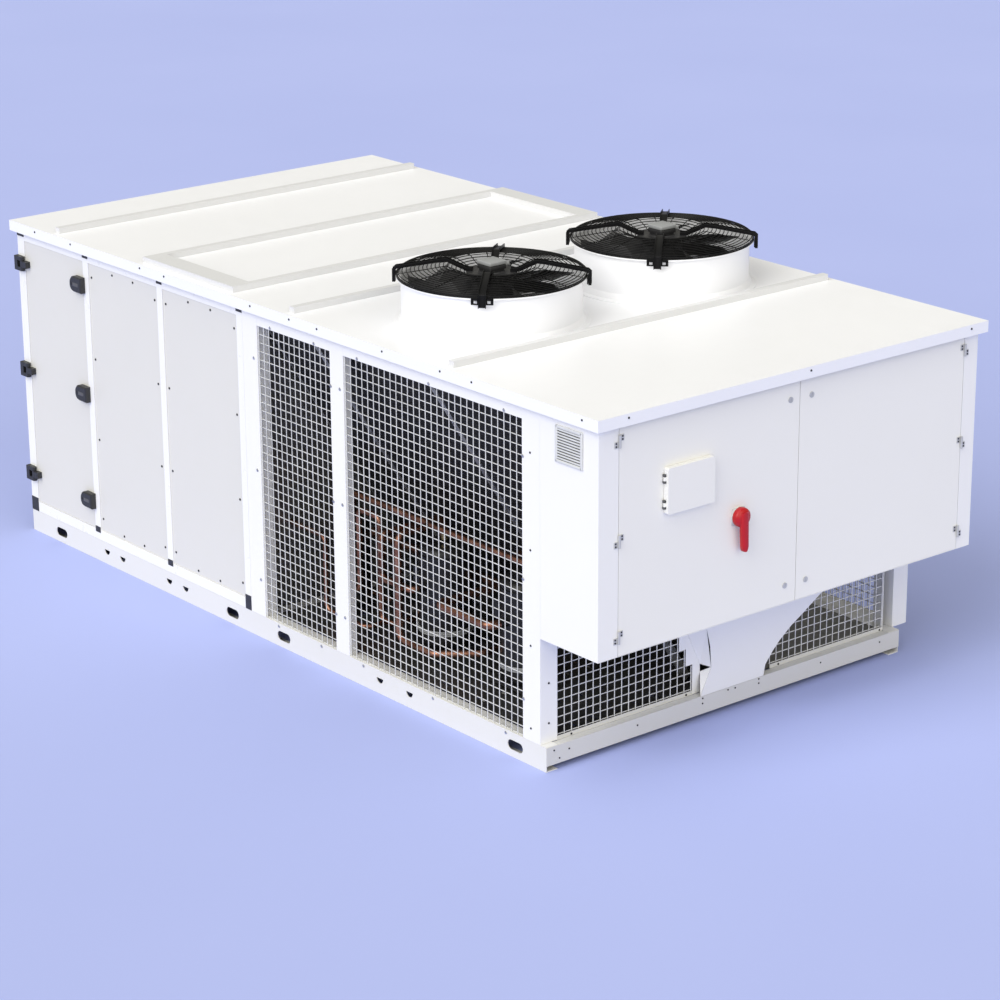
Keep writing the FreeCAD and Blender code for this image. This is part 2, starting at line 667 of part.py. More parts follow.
# ---------------------------------------------------------------- electrical cabinet
def cabinet_shell():
    """Cabinet walls, open at the front, with side strips beside the doors and a centre post."""
    x0, x1, y0, z0, z1 = -HALF_W, HALF_W, CAB_Y, CAB_Z0, EAVE_Z
    t, gap = 2.0, 0.1
    back = -0.5 - t
    low, high = z0 + t + gap, z1 - t - gap
    floor = box(x0, y0, z0, x1, back - gap, z0 + t)
    for x in GLAND_X:
        floor = floor.cut(cyl(GLAND_R, 4, V(x, GLAND_Y, z0 - 1)))
    walls = [box(x0, back, z0, x1, back + t, z1), floor, box(x0, y0, z1 - t, x1, back - gap, z1)]
    side = box(x0, y0, low, x0 + t, back - gap, high)
    side = side.cut(box(x0 - 1, VENT_Y0 + 12, VENT_Z0 + 12, x0 + 4, VENT_Y1 - 12, VENT_Z1 - 12))
    walls += [side, mirrored(side)]
    inner = x1 - t - gap
    walls += [
        box(-inner, y0, low, HINGE_L - 1, y0 + t, high),
        box(HINGE_L - 3, y0 + t + gap, low, HINGE_L - 1, y0 + 30, high),
        box(HINGE_R + 1, y0, low, inner, y0 + t, high),
        box(HINGE_R + 1, y0 + t + gap, low, HINGE_R + 3, y0 + 30, high),
    ]
    post_y = y0 + DOOR_T + 3
    walls.append(box(DOOR_GAP_X - 30, post_y, low, DOOR_GAP_X + 30, post_y + t, high))
    for x in (DOOR_GAP_X - 30, DOOR_GAP_X + 30 - t):
        walls.append(box(x, post_y + t + gap, low, x + t, post_y + 27, high))
    return walls


VENT_Y0, VENT_Y1 = -268.0, -101.0
VENT_Z0, VENT_Z1 = 1384.0, 1541.0
GLAND_X = (700.0, 780.0, 860.0)
GLAND_Y = -170.0
GLAND_R = 25.25


def cabinet_vents():
    """Louvred filter grilles clipped over the openings in both cabinet sides."""
    x = -HALF_W
    frame = box(x - 8, VENT_Y0, VENT_Z0, x - 0.1, VENT_Y1, VENT_Z1)
    edges = [e for e in frame.Edges if abs(e.tangentAt(e.FirstParameter).x) > 0.9]
    frame = frame.makeFillet(8, edges)
    rim = 13.0
    frame = frame.cut(box(x - 9, VENT_Y0 + rim, VENT_Z0 + rim, x + 1, VENT_Y1 - rim, VENT_Z1 - rim))
    slats = []
    count = 14
    step = (VENT_Z1 - VENT_Z0 - 2 * rim) / count
    for i in range(count):
        y = VENT_Y0 + rim - 2
        z = VENT_Z0 + rim + 0.7 + i * step
        slats.append(prism([V(x - 7, y, z), V(x - 1, y, z + 6), V(x - 1, y, z + 7.4), V(x - 7, y, z + 1.4)],
                           V(0, VENT_Y1 - VENT_Y0 - 2 * rim + 4, 0)))
    grille = fuse([frame] + slats)
    return [grille, mirrored(grille)]


def mounting_plate():
    plate = box(-960, -34, 640, 960, -31, 1520)
    studs = [cyl(6, 28, V(x, -31, z), Y_AXIS) for x in (-940, 0, 940) for z in (660, 1500)]
    rails = [box(x0, -42, z - 17, x1, -34, z + 17) for x0, x1, z in DIN_RAILS]
    return [fuse([plate] + studs + rails)]


DIN_RAILS = ((-930.0, -380.0, 1350.0), (-930.0, -380.0, 1140.0), (-930.0, -380.0, 930.0),
             (60.0, 700.0, 1350.0), (60.0, 700.0, 1140.0), (-930.0, 700.0, 720.0))


def wiring_ducts():
    ducts = []
    for z in (1240, 1035, 820, 1450):
        for x0, x1 in ((-930, HANDLE_X - SWITCH_HALF - 4), (60, 700)):
            duct = box(x0, -94, z - 20, x1, -34.2, z + 20)
            for x in range(int(x0) + 12, int(x1) - 12, 22):
                duct = duct.cut(box(x, -90, z - 21, x + 8, -44, z + 21))
            ducts.append(duct)
    return ducts


def switchgear():
    """Rows of breakers, contactors and terminals, the main switch and the controller."""
    items = []
    for x0, x1, z in DIN_RAILS:
        tall = z != 720.0
        width = 54.0 if tall else 24.0
        x = x0 + 8
        while x + width < x1:
            half = 42 if tall else 26
            body = box(x, -108, z - half, x + width - 2, -42.2, z + half)
            nose = box(x + 5, -122, z - half / 2, x + width - 7, -108, z + half / 2)
            items.append(fuse([body, nose]))
            x += width
    items.append(box(HANDLE_X - SWITCH_HALF, -150, HANDLE_Z - 70, HANDLE_X + SWITCH_HALF, -34.2, HANDLE_Z + 70))
    drive = box(740, -210, 900, 940, -34.2, 1330)
    items.append(drive)
    items.append(box(740, -120, 680, 930, -34.2, 860))
    return items


HANDLE_X = -331.0
HANDLE_Z = 1046.0
HANDLE_R = 43.0
SWITCH_HALF = 50.0
COVER_X0, COVER_X1 = -750.0, -492.0
COVER_Z0, COVER_Z1 = 1150.0, 1347.0
LOCK_R = 10.0
LOCKS = {
    "lock_upper_left": (-42.0, 1490.0),
    "lock_lower_left": (-51.0, 672.0),
    "lock_upper_right": (81.0, 1489.0),
    "lock_lower_right": (72.0, 671.0),
}


def door_pan(x0, x1):
    """Sheet door with returned edges, open at the back."""
    pan = box(x0, CAB_Y, DOOR_Z0, x1, CAB_Y + DOOR_T, DOOR_Z1)
    return pan.cut(box(x0 + 2, CAB_Y + 2, DOOR_Z0 + 2, x1 - 2, CAB_Y + DOOR_T, DOOR_Z1 - 2))


def cabinet_door_left():
    door = door_pan(HINGE_L + 1.5, DOOR_GAP_X - 1.5)
    door = door.cut(cyl(9, 40, V(HANDLE_X, CAB_Y - 5, HANDLE_Z), Y_AXIS))
    for name in ("lock_upper_left", "lock_lower_left"):
        x, z = LOCKS[name]
        door = door.cut(cyl(LOCK_R + RUN_GAP, 40, V(x, CAB_Y - 5, z), Y_AXIS))
    return door


def cabinet_door_right():
    door = door_pan(DOOR_GAP_X + 1.5, HINGE_R - 1.5)
    for name in ("lock_upper_right", "lock_lower_right"):
        x, z = LOCKS[name]
        door = door.cut(cyl(LOCK_R + RUN_GAP, 40, V(x, CAB_Y - 5, z), Y_AXIS))
    return door


def hinge_set(pin, side, zs, height, leaf, r_out=6.0, r_pin=3.0, t=3.0, gap=0.4):
    """Lift-off hinges about the vertical line at pin. The fixed leaves are on the -side.

    Each fixed half carries the pin and each moving half has the bore.
    Returns (fixed shapes, moving shapes). The leaves lie on the plane y = pin.y + r_out.
    """
    fixed, moving = [], []
    for z in zs:
        bottom, top = z - height / 2, z + height / 2
        back = pin.y + r_out
        a, b = sorted((pin.x - side * leaf, pin.x - side * 1.6))
        leaf_f = box(a, back - t, bottom, b, back - 0.1, z - gap / 2)
        knuckle_f = cyl(r_out, height / 2 - gap / 2, V(pin.x, pin.y, bottom))
        stem = cyl(r_pin, height / 2 + gap / 2 - 2, V(pin.x, pin.y, z - gap / 2))
        fixed.append(fuse([leaf_f, knuckle_f, stem, web(pin, -side, back, t, bottom, z - gap / 2)]))
        a, b = sorted((pin.x + side * leaf, pin.x + side * 1.6))
        leaf_m = box(a, back - t, z + gap / 2, b, back - 0.1, top)
        knuckle_m = fuse([cyl(r_out, height / 2 - gap / 2, V(pin.x, pin.y, z + gap / 2)), leaf_m,
                          web(pin, side, back, t, z + gap / 2, top)])
        moving.append(knuckle_m.cut(cyl(r_pin + RUN_GAP, height / 2, V(pin.x, pin.y, z + gap / 2))))
    return fixed, moving


def web(pin, side, back, t, z0, z1):
    """Bridge between a hinge knuckle and its leaf."""
    a, b = sorted((pin.x + side * 3.4, pin.x + side * 8))
    return box(a, back - t, z0, b, back - 0.1, z1)


CAB_PIN_Y = CAB_Y - 6.0
HINGE_LEFT = hinge_set(V(HINGE_L, CAB_PIN_Y, 0), 1, HINGE_Z, 54, 25)
HINGE_RIGHT = hinge_set(V(HINGE_R, CAB_PIN_Y, 0), -1, HINGE_Z, 54, 25)


def lock(name):
    """Quarter-turn lock: slotted head, body through the door and a cam behind it."""
    x, z = LOCKS[name]
    side = 1 if x < DOOR_GAP_X else -1
    head = cyl(LOCK_R + 3, 3, V(x, CAB_Y - 3.3, z), Y_AXIS)
    head = head.cut(box(x - 1.6, CAB_Y - 4, z - 8, x + 1.6, CAB_Y - 1.8, z + 8))
    body = cyl(LOCK_R, 20, V(x, CAB_Y - 0.3, z), Y_AXIS)
    cam_y = CAB_Y + 14
    tab = box(min(x, x + side * 22), cam_y, z - 8, max(x, x + side * 22), cam_y + 3, z + 8)
    return fuse([head, body, tab])


def display_panel():
    """Controller screen and keys behind the hinged cover, fixed to the door."""
    x0, x1, z0, z1 = COVER_X0 + 40, COVER_X1 - 40, COVER_Z0 + 35, COVER_Z1 - 35
    plate = rounded_slab(x0, z0, x1, z1, 6, CAB_Y - 10, CAB_Y - 0.2)
    screen = box(x0 + 20, CAB_Y - 11.5, z0 + 45, x1 - 20, CAB_Y - 10, z1 - 14)
    keys = [cyl(6, 3, V(x0 + 30 + 24 * i, CAB_Y - 13, z0 + 24), Y_AXIS) for i in range(6)]
    return [fuse([plate, screen] + keys)]


COVER_PIN = V(COVER_X0 - 2.5, CAB_Y - 9, 0)


def cover_hinges():
    fixed, moving = [], []
    for z in (1190.0, 1300.0):
        stem = cyl(2.5, 34, V(COVER_PIN.x, COVER_PIN.y, z - 17))
        foot_y0, foot_y1 = COVER_PIN.y - 3, CAB_Y - 0.1
        low = box(COVER_PIN.x - 5, foot_y0, z - 19, COVER_PIN.x + 2.4, foot_y1, z - 9)
        high = box(COVER_PIN.x - 5, foot_y0, z + 9, COVER_PIN.x + 2.4, foot_y1, z + 19)
        fixed.append(fuse([stem, low, high]))
        eye = cyl(6, 16, V(COVER_PIN.x, COVER_PIN.y, z - 8))
        arm = box(COVER_PIN.x, COVER_PIN.y - 6, z - 8, COVER_X0 + 4, COVER_PIN.y - 3, z + 8)
        moving.append(fuse([eye, arm]).cut(cyl(2.5 + RUN_GAP, 16, V(COVER_PIN.x, COVER_PIN.y, z - 8))))
    return fixed, moving


COVER_FIXED, COVER_MOVING = cover_hinges()


def display_cover():
    """Shallow hinged cover over the controller."""
    y0, y1 = CAB_Y - 28, CAB_Y - 1
    cap = rounded_slab(COVER_X0, COVER_Z0, COVER_X1, COVER_Z1, 8, y0, y1)
    cap = cap.cut(box(COVER_X0 + 3, y0 + 3, COVER_Z0 + 3, COVER_X1 - 3, y1, COVER_Z1 - 3))
    for z in (1190.0, 1300.0):
        cap = cap.cut(box(COVER_X0 - 1, COVER_PIN.y - 3.4, z - 20, COVER_X0 + 3.1, y1 + 1, z + 20))
        for low in (z - 20, z + 8.5):
            cap = cap.cut(box(COVER_X0 - 1, COVER_PIN.y - 6.6, low, COVER_X0 + 3.1, y1 + 1, low + 11.5))
    return fuse([cap] + COVER_MOVING)


def switch_collar():
    collar = ring(HANDLE_R - 3, 9, 8, V(HANDLE_X, CAB_Y - 8.1, HANDLE_Z), Y_AXIS)
    plate = rounded_slab(HANDLE_X - 38, HANDLE_Z - 38, HANDLE_X + 38, HANDLE_Z + 38, 8, CAB_Y - 2.1, CAB_Y - 0.1)
    return [fuse([collar, plate.cut(cyl(9, 10, V(HANDLE_X, CAB_Y - 5, HANDLE_Z), Y_AXIS))])]


def switch_handle():
    """Pistol handle: domed boss, tapered grip hanging down, and the shaft to the switch."""
    y1 = CAB_Y - 8.6
    boss = cyl(HANDLE_R, 18, V(0, y1 - 18, 0), Y_AXIS)
    dome = cyl(HANDLE_R - 10, 8, V(0, y1 - 26, 0), Y_AXIS)
    root = [V(-22, y1, -20), V(22, y1, -20), V(20, y1 - 42, -20), V(-20, y1 - 42, -20)]
    tip = [V(-10, y1 - 14, -148), V(24, y1 - 14, -148), V(22, y1 - 42, -148), V(-8, y1 - 42, -148)]
    grip = Part.makeLoft([Part.makePolygon(root + [root[0]]), Part.makePolygon(tip + [tip[0]])], True, True)
    bridge = box(-20, y1 - 42, -30, 20, y1 - 10, 16)
    shaft = cyl(9 - RUN_GAP, 130, V(0, y1, 0), Y_AXIS)
    return moved(fuse([boss, dome, grip, bridge, shaft]), x=HANDLE_X, z=HANDLE_Z)


# ---------------------------------------------------------------- access door
DOOR_Y0 = AHU_POSTS[2][1] + 1.5
DOOR_Y1 = AHU_POSTS[3][0] - 1.5
ACCESS_PIN = V(-HALF_W - 12, AHU_POSTS[3][0] + 6, 0)
ACCESS_HINGE_Z = (316.0, 864.0, 1413.0)
LATCH_Y = 3452.0
LATCHES = {"latch_lower": 309.0, "latch_middle": 859.0, "latch_upper": 1410.0}


def access_door():
    door = hollow_box(-HALF_W + 3, DOOR_Y0, PANEL_Z0 + 1.5, -HALF_W + PANEL_T, DOOR_Y1, PANEL_Z1 - 1.5)
    for z in LATCHES.values():
        door = door.cut(cyl(8 + RUN_GAP, 20, V(-HALF_W, LATCH_Y, z), X_AXIS))
    return door


def access_hinges():
    """Black plastic block hinges that wrap the corner post. Returns (fixed, moving)."""
    fixed, moving = [], []
    px, py = ACCESS_PIN.x, ACCESS_PIN.y
    for z in ACCESS_HINGE_Z:
        outer = box(px - 12, py + 12.6, z - 36, -HALF_W - 0.1, REAR_Y + 2, z + 36)
        ears = []
        for z0, z1 in ((z - 36, z - 16), (z + 16, z + 36)):
            ear = fuse([cyl(12, z1 - z0, V(px, py, z0)), box(px - 12, py, z0, px, py + 13, z1)])
            ears.append(ear.cut(cyl(4 + RUN_GAP, z1 - z0, V(px, py, z0))))
        notch = box(px - 13, py + 12, z - 17, px + 9, py + 30, z + 17)
        fixed.append(fuse([outer] + ears).cut(notch))
        eye = cyl(12, 31, V(px, py, z - 15.5))
        leaf = box(px - 12, py - 48, z - 15.5, px, py, z + 15.5)
        pad = box(px, py - 48, z - 15.5, -HALF_W + 2.8, py - 14, z + 15.5)
        moving.append(fuse([eye, leaf, pad, cyl(4, 68, V(px, py, z - 34))]))
    return fixed, moving


ACCESS_FIXED, ACCESS_MOVING = access_hinges()


def latch(z):
    """Compression latch: a D shaped grip, flat towards the post and round over the door."""
    y_flat, y_round = 3402.0, 3500.0
    half_h = 39.0
    r = 34.0
    x0, x1 = -HALF_W - 30, -HALF_W - 0.4
    body = box(x0, y_flat, z - half_h, x1, y_round, z + half_h)
    edges = [e for e in body.Edges if abs(e.tangentAt(e.FirstParameter).x) > 0.9
             and e.CenterOfMass.y > y_flat + 10]
    body = body.makeFillet(r, edges)
    rim = [e for e in body.Edges if e.CenterOfMass.x < x0 + 0.5]
    body = body.makeChamfer(6, rim)
    return [body, cyl(8, 16, V(x1, LATCH_Y, z), X_AXIS)]


# ---------------------------------------------------------------- compressors
def vessel(r, z0, z1, corner):
    """Round bottle shape with rounded ends, turned about z."""
    s = corner * (1 - math.sqrt(0.5))
    edges = [
        Part.LineSegment(V(0, 0, z0), V(r - corner, 0, z0)).toShape(),
        Part.Arc(V(r - corner, 0, z0), V(r - s, 0, z0 + s), V(r, 0, z0 + corner)).toShape(),
        Part.LineSegment(V(r, 0, z0 + corner), V(r, 0, z1 - corner)).toShape(),
        Part.Arc(V(r, 0, z1 - corner), V(r - s, 0, z1 - s), V(r - corner, 0, z1)).toShape(),
        Part.LineSegment(V(r - corner, 0, z1), V(0, 0, z1)).toShape(),
        Part.LineSegment(V(0, 0, z1), V(0, 0, z0)).toShape(),
    ]
    return Part.Face(Part.Wire(edges)).revolve(V(0, 0, 0), Z_AXIS, 360)


def compressor_shell():
    corner = 40.0
    outer = vessel(SHELL_R, 0, SHELL_H, corner)
    stubs = [cyl(21, 46, V(-SHELL_R - 40, 0, SUCTION_Z), X_AXIS), cyl(14, 40, V(0, 0, SHELL_H - 6))]
    terminal = box(-52, SHELL_R - 12, 250, 52, SHELL_R + 46, 340)
    body = fuse([outer, terminal] + stubs)
    inner = vessel(SHELL_R - SHELL_T, SHELL_T, SHELL_H - SHELL_T, corner - SHELL_T)
    body = body.cut(inner)
    body = body.cut(cyl(19.5, 60, V(-SHELL_R - 45, 0, SUCTION_Z), X_AXIS))
    return body.cut(cyl(12.5, 60, V(0, 0, SHELL_H - 20)))


SUCTION_Z = 294.0


def compressor_shells():
    return [moved(compressor_shell(), COMP_X, y, COMP_Z) for y in COMP_Y]


def compressor_feet():
    """Steel foot plates on rubber grommets."""
    parts = []
    for y in COMP_Y:
        plate = box(-125, -125, -8, 125, 125, -0.3)
        parts.append(moved(plate, COMP_X, y, COMP_Z))
        for dx in (-100, 100):
            for dy in (-100, 100):
                base = 115.0 - COMP_Z
                parts.append(moved(ring(16, 7, -8.2 - base, V(dx, dy, base)), COMP_X, y, COMP_Z))
    return parts


def compressor_stators():
    """Stator cores with end windings, pressed into the shells."""
    parts = []
    for y in COMP_Y:
        core = ring(SHELL_R - SHELL_T, 55, CORE_H, V(0, 0, MOTOR_Z))
        windings = [ring(100, 62, 22, V(0, 0, MOTOR_Z - 22)), ring(100, 62, 22, V(0, 0, MOTOR_Z + CORE_H))]
        parts.append(moved(fuse([core] + windings), COMP_X, y, COMP_Z))
    return parts


def scroll_wrap(z0, z1):
    """Spiral wall of half circles about two centres a quarter pitch either side of the axis."""
    half = SCROLL_T / 2
    shift = SCROLL_PITCH / 4
    outer, inner = [], []
    for k in range(SCROLL_TURNS):
        sign = 1 if k % 2 == 0 else -1
        centre = -sign * shift
        radius = SCROLL_PITCH / 2 * (1 + k)
        for r, store in ((radius + half, outer), (radius - half, inner)):
            start = V(centre + sign * r, 0, z0)
            store.append(Part.Arc(start, V(centre, sign * r, z0), V(centre - sign * r, 0, z0)).toShape())
    first = -shift + SCROLL_PITCH / 2
    tip = Part.Arc(V(first + half, 0, z0), V(first, -half, z0), V(first - half, 0, z0)).toShape()
    last_sign = 1 if (SCROLL_TURNS - 1) % 2 == 0 else -1
    end_x = -last_sign * shift - last_sign * SCROLL_PITCH / 2 * SCROLL_TURNS
    tail = Part.Arc(V(end_x - half, 0, z0), V(end_x, -last_sign * half, z0), V(end_x + half, 0, z0)).toShape()
    wire = Part.Wire(Part.__sortEdges__(outer + inner + [tip, tail]))
    return Part.Face(wire).extrude(V(0, 0, z1 - z0))


FRAME_Z = 325.0


def crankshaft():
    """Rotor, shaft, upper journal and the eccentric pin as one turning piece."""
    shaft = cyl(14, FRAME_Z - 40, V(0, 0, 44))
    rotor = cyl(54.4, CORE_H, V(0, 0, MOTOR_Z))
    journal = cyl(24, 32, V(0, 0, FRAME_Z))
    pin = cyl(12, 15.5, V(ORBIT_R, 0, FRAME_Z + 32))
    top = MOTOR_Z + CORE_H
    weight = cyl(50, 14, V(0, 0, top - 1)).common(box(-60, -60, top - 1, -10, 60, top + 20))
    return fuse([shaft, rotor, journal, pin, weight])


def compressor_castings():
    """Lower bearing, main frame with the upper bearing, and the fixed scroll."""
    inner_r = SHELL_R - SHELL_T
    lower = ring(inner_r, 14 + RUN_GAP, 12, V(0, 0, 60))
    for i in range(6):
        lower = lower.cut(turned(cyl(22, 12, V(70, 0, 60)), i * 60))
    frame = ring(inner_r, 24 + RUN_GAP, 50, V(0, 0, FRAME_Z))
    frame = frame.cut(cyl(36, 20, V(0, 0, FRAME_Z + 30)))
    for i in range(4):
        frame = frame.cut(turned(cyl(14, 50, V(96, 0, FRAME_Z)), 45 + i * 90))
    deck = FRAME_Z + 50
    rim = ring(inner_r, 109, 42.6, V(0, 0, deck))
    plate = ring(inner_r, 8, 16, V(0, 0, deck + 42.6))
    wrap = scroll_wrap(deck + 12.7, deck + 42.6)
    wrap = turned(wrap, 180)
    return [lower, frame, fuse([rim, plate, wrap])]


def orbiting_scroll():
    deck = FRAME_Z + 50
    base = cyl(98, 12, V(0, 0, deck + 0.3))
    hub = cyl(20, 17, V(0, 0, deck - 16.5))
    wrap = scroll_wrap(deck + 12.3, deck + 42.2)
    body = fuse([base, hub, wrap])
    body = body.cut(cyl(12 + RUN_GAP, 19, V(0, 0, deck - 16.5)))
    return moved(body, x=ORBIT_R)


def place_compressor(shape, index):
    return moved(shape, COMP_X, COMP_Y[index], COMP_Z)


def copper_pipes():
    """Suction, discharge and liquid lines of the condenser side. Joints butt with a 0.3 mm gap."""
    x = COMP_X
    stub_x = x - SHELL_R - 40.2
    y1, y2 = COMP_Y
    low = COMP_Z + SUCTION_Z
    top = COMP_Z + SHELL_H + 34.2
    header_z = 724.0
    wall_y = 2029.5
    suction_x, suction_y = -545.0, 920.0
    riser_y = 1345.0
    receiver_x, receiver_y = -730.0, 1770.0
    return [
        pipe([V(stub_x, y1, low), V(-910, y1, low), V(-910, suction_y, low), V(suction_x, suction_y, low),
              V(suction_x, wall_y, low)], 21, 36),
        pipe([V(stub_x, y2, low), V(-892, y2, low), V(-892, riser_y, low), V(-892, riser_y, 640),
              V(suction_x, riser_y, 640), V(suction_x, riser_y, low + 21.3)], 17, 30),
        pipe([V(x, y2, top), V(x, y2, header_z), V(-800, y2, header_z), V(-800, 150, header_z),
              V(-570, 150, header_z)], 14, 40),
        pipe([V(x, y1, top), V(x, y1, header_z), V(-785.7, y1, header_z)], 14, 40),
        pipe([V(-242, 793, 198), V(-760, 793, 198), V(-930, 925, 198), V(-930, 1175, 198), V(-930, 1175, 690),
              V(receiver_x, 1175, 690), V(receiver_x, receiver_y, 690), V(receiver_x, receiver_y, 570.3)], 17, 40),
        pipe([V(-780, 1697, 250), V(-780, 1660, 250), V(-780, 1660, 650), V(-780, 1500, 650), V(-780, 1500, 160),
              V(-780, 1410, 160), V(-600, 1410, 160), V(-600, 1449.7, 160)], 14, 30),
        pipe([V(-794.3, 1455, 160), V(-900, 1455, 160), V(-900, 1760, 160), V(-900, 1760, 520),
              V(-900, wall_y, 520)], 11, 40),
        cyl(11, wall_y - 1640.3, V(-600, 1640.3, 160), Y_AXIS).cut(
            cyl(9.8, wall_y - 1640.3, V(-600, 1640.3, 160), Y_AXIS)),
    ]


def liquid_receiver():
    """Upright receiver and filter drier beside the compressors."""
    body = moved(vessel(80, 0, 420, 40), -730, 1770, 150)
    foot = box(-790, 1710, 115, -670, 1830, 149.5)
    drier = turned(vessel(38, 0, 190, 26), 90, axis=X_AXIS)
    return [body, foot, moved(drier, -600, 1640, 160)]


# ---------------------------------------------------------------- screws and clips
def head_x(x, y, z, side, r=6.0, h=3.0):
    """Screw head on a face that looks along x."""
    base = V(x - h if side < 0 else x, y, z)
    return cyl(r, h, base, X_AXIS)


def head_y(x, y, z, r=6.0, h=3.0):
    return cyl(r, h, V(x, y - h, z), Y_AXIS)


SILL_SCREWS = ((-1060, 92), (-1030, 50), (-977, 78), (-593, 78), (-214, 100), (-214, 76), (-63, 100), (-20, 98),
               (123, 102), (123, 82), (507, 80), (885, 82))


def panel_screws():
    """Dark screws of the panels, the fascia and the posts."""
    heads = []
    skin = HALF_W - 3.9
    for (_, a), (b, _) in zip(AHU_POSTS[:2], AHU_POSTS[1:3]):
        for z in (230, 640, 1050, 1460):
            for y in (a + 24, b - 24):
                heads += [head_x(-skin, y, z, -1), head_x(skin, y, z, 1)]
        for z in (PANEL_Z0 + 22, PANEL_Z1 - 22):
            heads += [head_x(s * skin, a + (b - a) * f, z, s) for s in (-1, 1) for f in (0.35, 0.65)]
    edge = HALF_W + OVERHANG + 0.1
    for y in (-294, 397, 605, 1000, 1466, 1672, 1969, 2659, 2863, 3469, 3794):
        heads += [head_x(-edge, y, 1607, -1, 5), head_x(edge, y, 1607, 1, 5)]
    front = CAB_Y - OVERHANG - 0.1
    heads += [head_y(x, front, 1607, 5) for x in (-969, 44, 1022)]
    for z in (170, 540, 960, 1380):
        heads += [head_x(s * (HALF_W + 0.1), 60, z, s, 5) for s in (-1, 1)]
    heads += [head_y(-1054, -0.1, z, 5) for z in (200, 380)]
    for x, z in SILL_SCREWS:
        heads.append(head_y(x, -41.1, z, 4))
    heads += [head_y(x, -0.1, 119, 5) for x in (-930, -274, 282, 925)]
    return heads


def mesh_clips():
    """Washers and screws around the mesh openings, with the fixed hinge halves."""
    spots = [(y, z) for y in (225, 720, 1218, 1532, 1862) for z in (1522, 98)]
    spots += [(y, z) for y in (106, 1347, 1413, 1994) for z in (290, 822, 1355)]
    face = HALF_W + 0.1
    clips = [head_x(side * face, y, z, side, 8.0, 3.5) for y, z in spots for side in (-1, 1)]
    return clips + HINGE_LEFT[0] + HINGE_RIGHT[0]


def main():
    save("base_long_rails", base_long_rails())
    save("base_cross_rails", base_cross_rails())
    save("floor_panels", floor_panels())
    save("condenser_frame", condenser_frame())
    save("ahu_frame", ahu_frame())
    save("plastic_caps", plastic_caps() + ACCESS_FIXED)
    save("insulated_panels", insulated_panels())
    save("bulkheads", bulkheads())
    save("roof_sheets", roof_sheets())
    save("roof_seams", roof_seams())
    save("fan_shrouds", [fan_shroud(x) for x in FAN_X])
    save("fan_guards", [fan_guard(x) for x in FAN_X])
    save("fan_arms", fan_arms())
    save("fan_motors", fan_motors())
    save("fan_rotor_left", fan_rotor(FAN_X[0]))
    save("fan_rotor_right", fan_rotor(FAN_X[1]))
    save("side_mesh_left", side_meshes(-1))
    save("side_mesh_right", side_meshes(1))
    save("front_mesh", front_meshes())
    save("front_centre_panel", front_centre_panel())
    save("condenser_coils", condenser_coils())
    save("coil_headers", coil_headers())
    save("cabinet_shell", cabinet_shell())
    save("cabinet_vents", cabinet_vents())
    save("mounting_plate", mounting_plate())
    save("wiring_ducts", wiring_ducts())
    save("switchgear", switchgear())
    save("cabinet_door_left", cabinet_door_left())
    save("cabinet_door_right", cabinet_door_right())
    save("door_hinges_left", HINGE_LEFT[1])
    save("door_hinges_right", HINGE_RIGHT[1])
    save("display_panel", display_panel() + COVER_FIXED)
    save("display_cover", display_cover())
    save("switch_collar", switch_collar())
    save("switch_handle", switch_handle())
    for name in LOCKS:
        save(name, lock(name))
    save("access_door", access_door())
    save("access_hinges", ACCESS_MOVING)
    for name, z in LATCHES.items():
        save(name, latch(z))
    save("compressor_shells", compressor_shells())
    save("compressor_feet", compressor_feet())
    save("compressor_stators", compressor_stators())
    save("compressor_castings", [place_compressor(s, i) for i in (0, 1) for s in compressor_castings()])
    for i in (0, 1):
        save("crankshaft_" + str(i + 1), place_compressor(crankshaft(), i))
        save("orbiting_scroll_" + str(i + 1), place_compressor(orbiting_scroll(), i))
    save("copper_pipes", copper_pipes())
    save("liquid_receiver", liquid_receiver())
    save("evaporator_coil", evaporator_coil())
    save("air_filters", air_filters())
    save("supply_impeller", supply_impeller())
    save("supply_motor", supply_motor())
    save("panel_screws", panel_screws())
    save("mesh_clips", mesh_clips())


main()
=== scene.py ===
from math import cos, pi, radians, sin

import bmesh
import bpy
from mathutils import Matrix, Vector


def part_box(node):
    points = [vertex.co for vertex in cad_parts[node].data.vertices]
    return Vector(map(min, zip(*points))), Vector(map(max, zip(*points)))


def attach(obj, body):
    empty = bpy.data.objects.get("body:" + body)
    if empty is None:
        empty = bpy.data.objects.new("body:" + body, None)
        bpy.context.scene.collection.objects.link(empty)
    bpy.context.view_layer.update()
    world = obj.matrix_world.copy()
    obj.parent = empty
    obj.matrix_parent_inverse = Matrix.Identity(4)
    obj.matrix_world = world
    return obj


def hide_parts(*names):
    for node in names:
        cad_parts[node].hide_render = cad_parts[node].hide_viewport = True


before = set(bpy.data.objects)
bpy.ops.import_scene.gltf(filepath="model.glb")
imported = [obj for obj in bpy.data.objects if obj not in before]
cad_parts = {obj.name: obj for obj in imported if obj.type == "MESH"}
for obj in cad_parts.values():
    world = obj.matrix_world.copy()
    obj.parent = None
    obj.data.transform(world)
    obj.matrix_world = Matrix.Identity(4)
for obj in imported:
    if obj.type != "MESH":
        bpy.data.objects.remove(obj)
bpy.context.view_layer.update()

# ------------------------------------------------------------------ sizes (metres)
BODY = "unit"
MID_Y = 1.804                    # condenser front plane to the frame's origin
FAN_X = (-0.5, 0.5)
FAN_Y = 1.030 - MID_Y
SHROUD_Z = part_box("fan_shrouds")[1].z
LIP_R = 0.418
MOTOR_TOP = SHROUD_Z + 0.016
WIRE_R = 0.00225                 # side and front meshes
MESH_PITCH = 0.040
SHORTEST_WIRE = 0.8 * MESH_PITCH
GUARD_WIRE_R = 0.0020
GUARD_RINGS = 17
GUARD_FIRST_R = 0.120
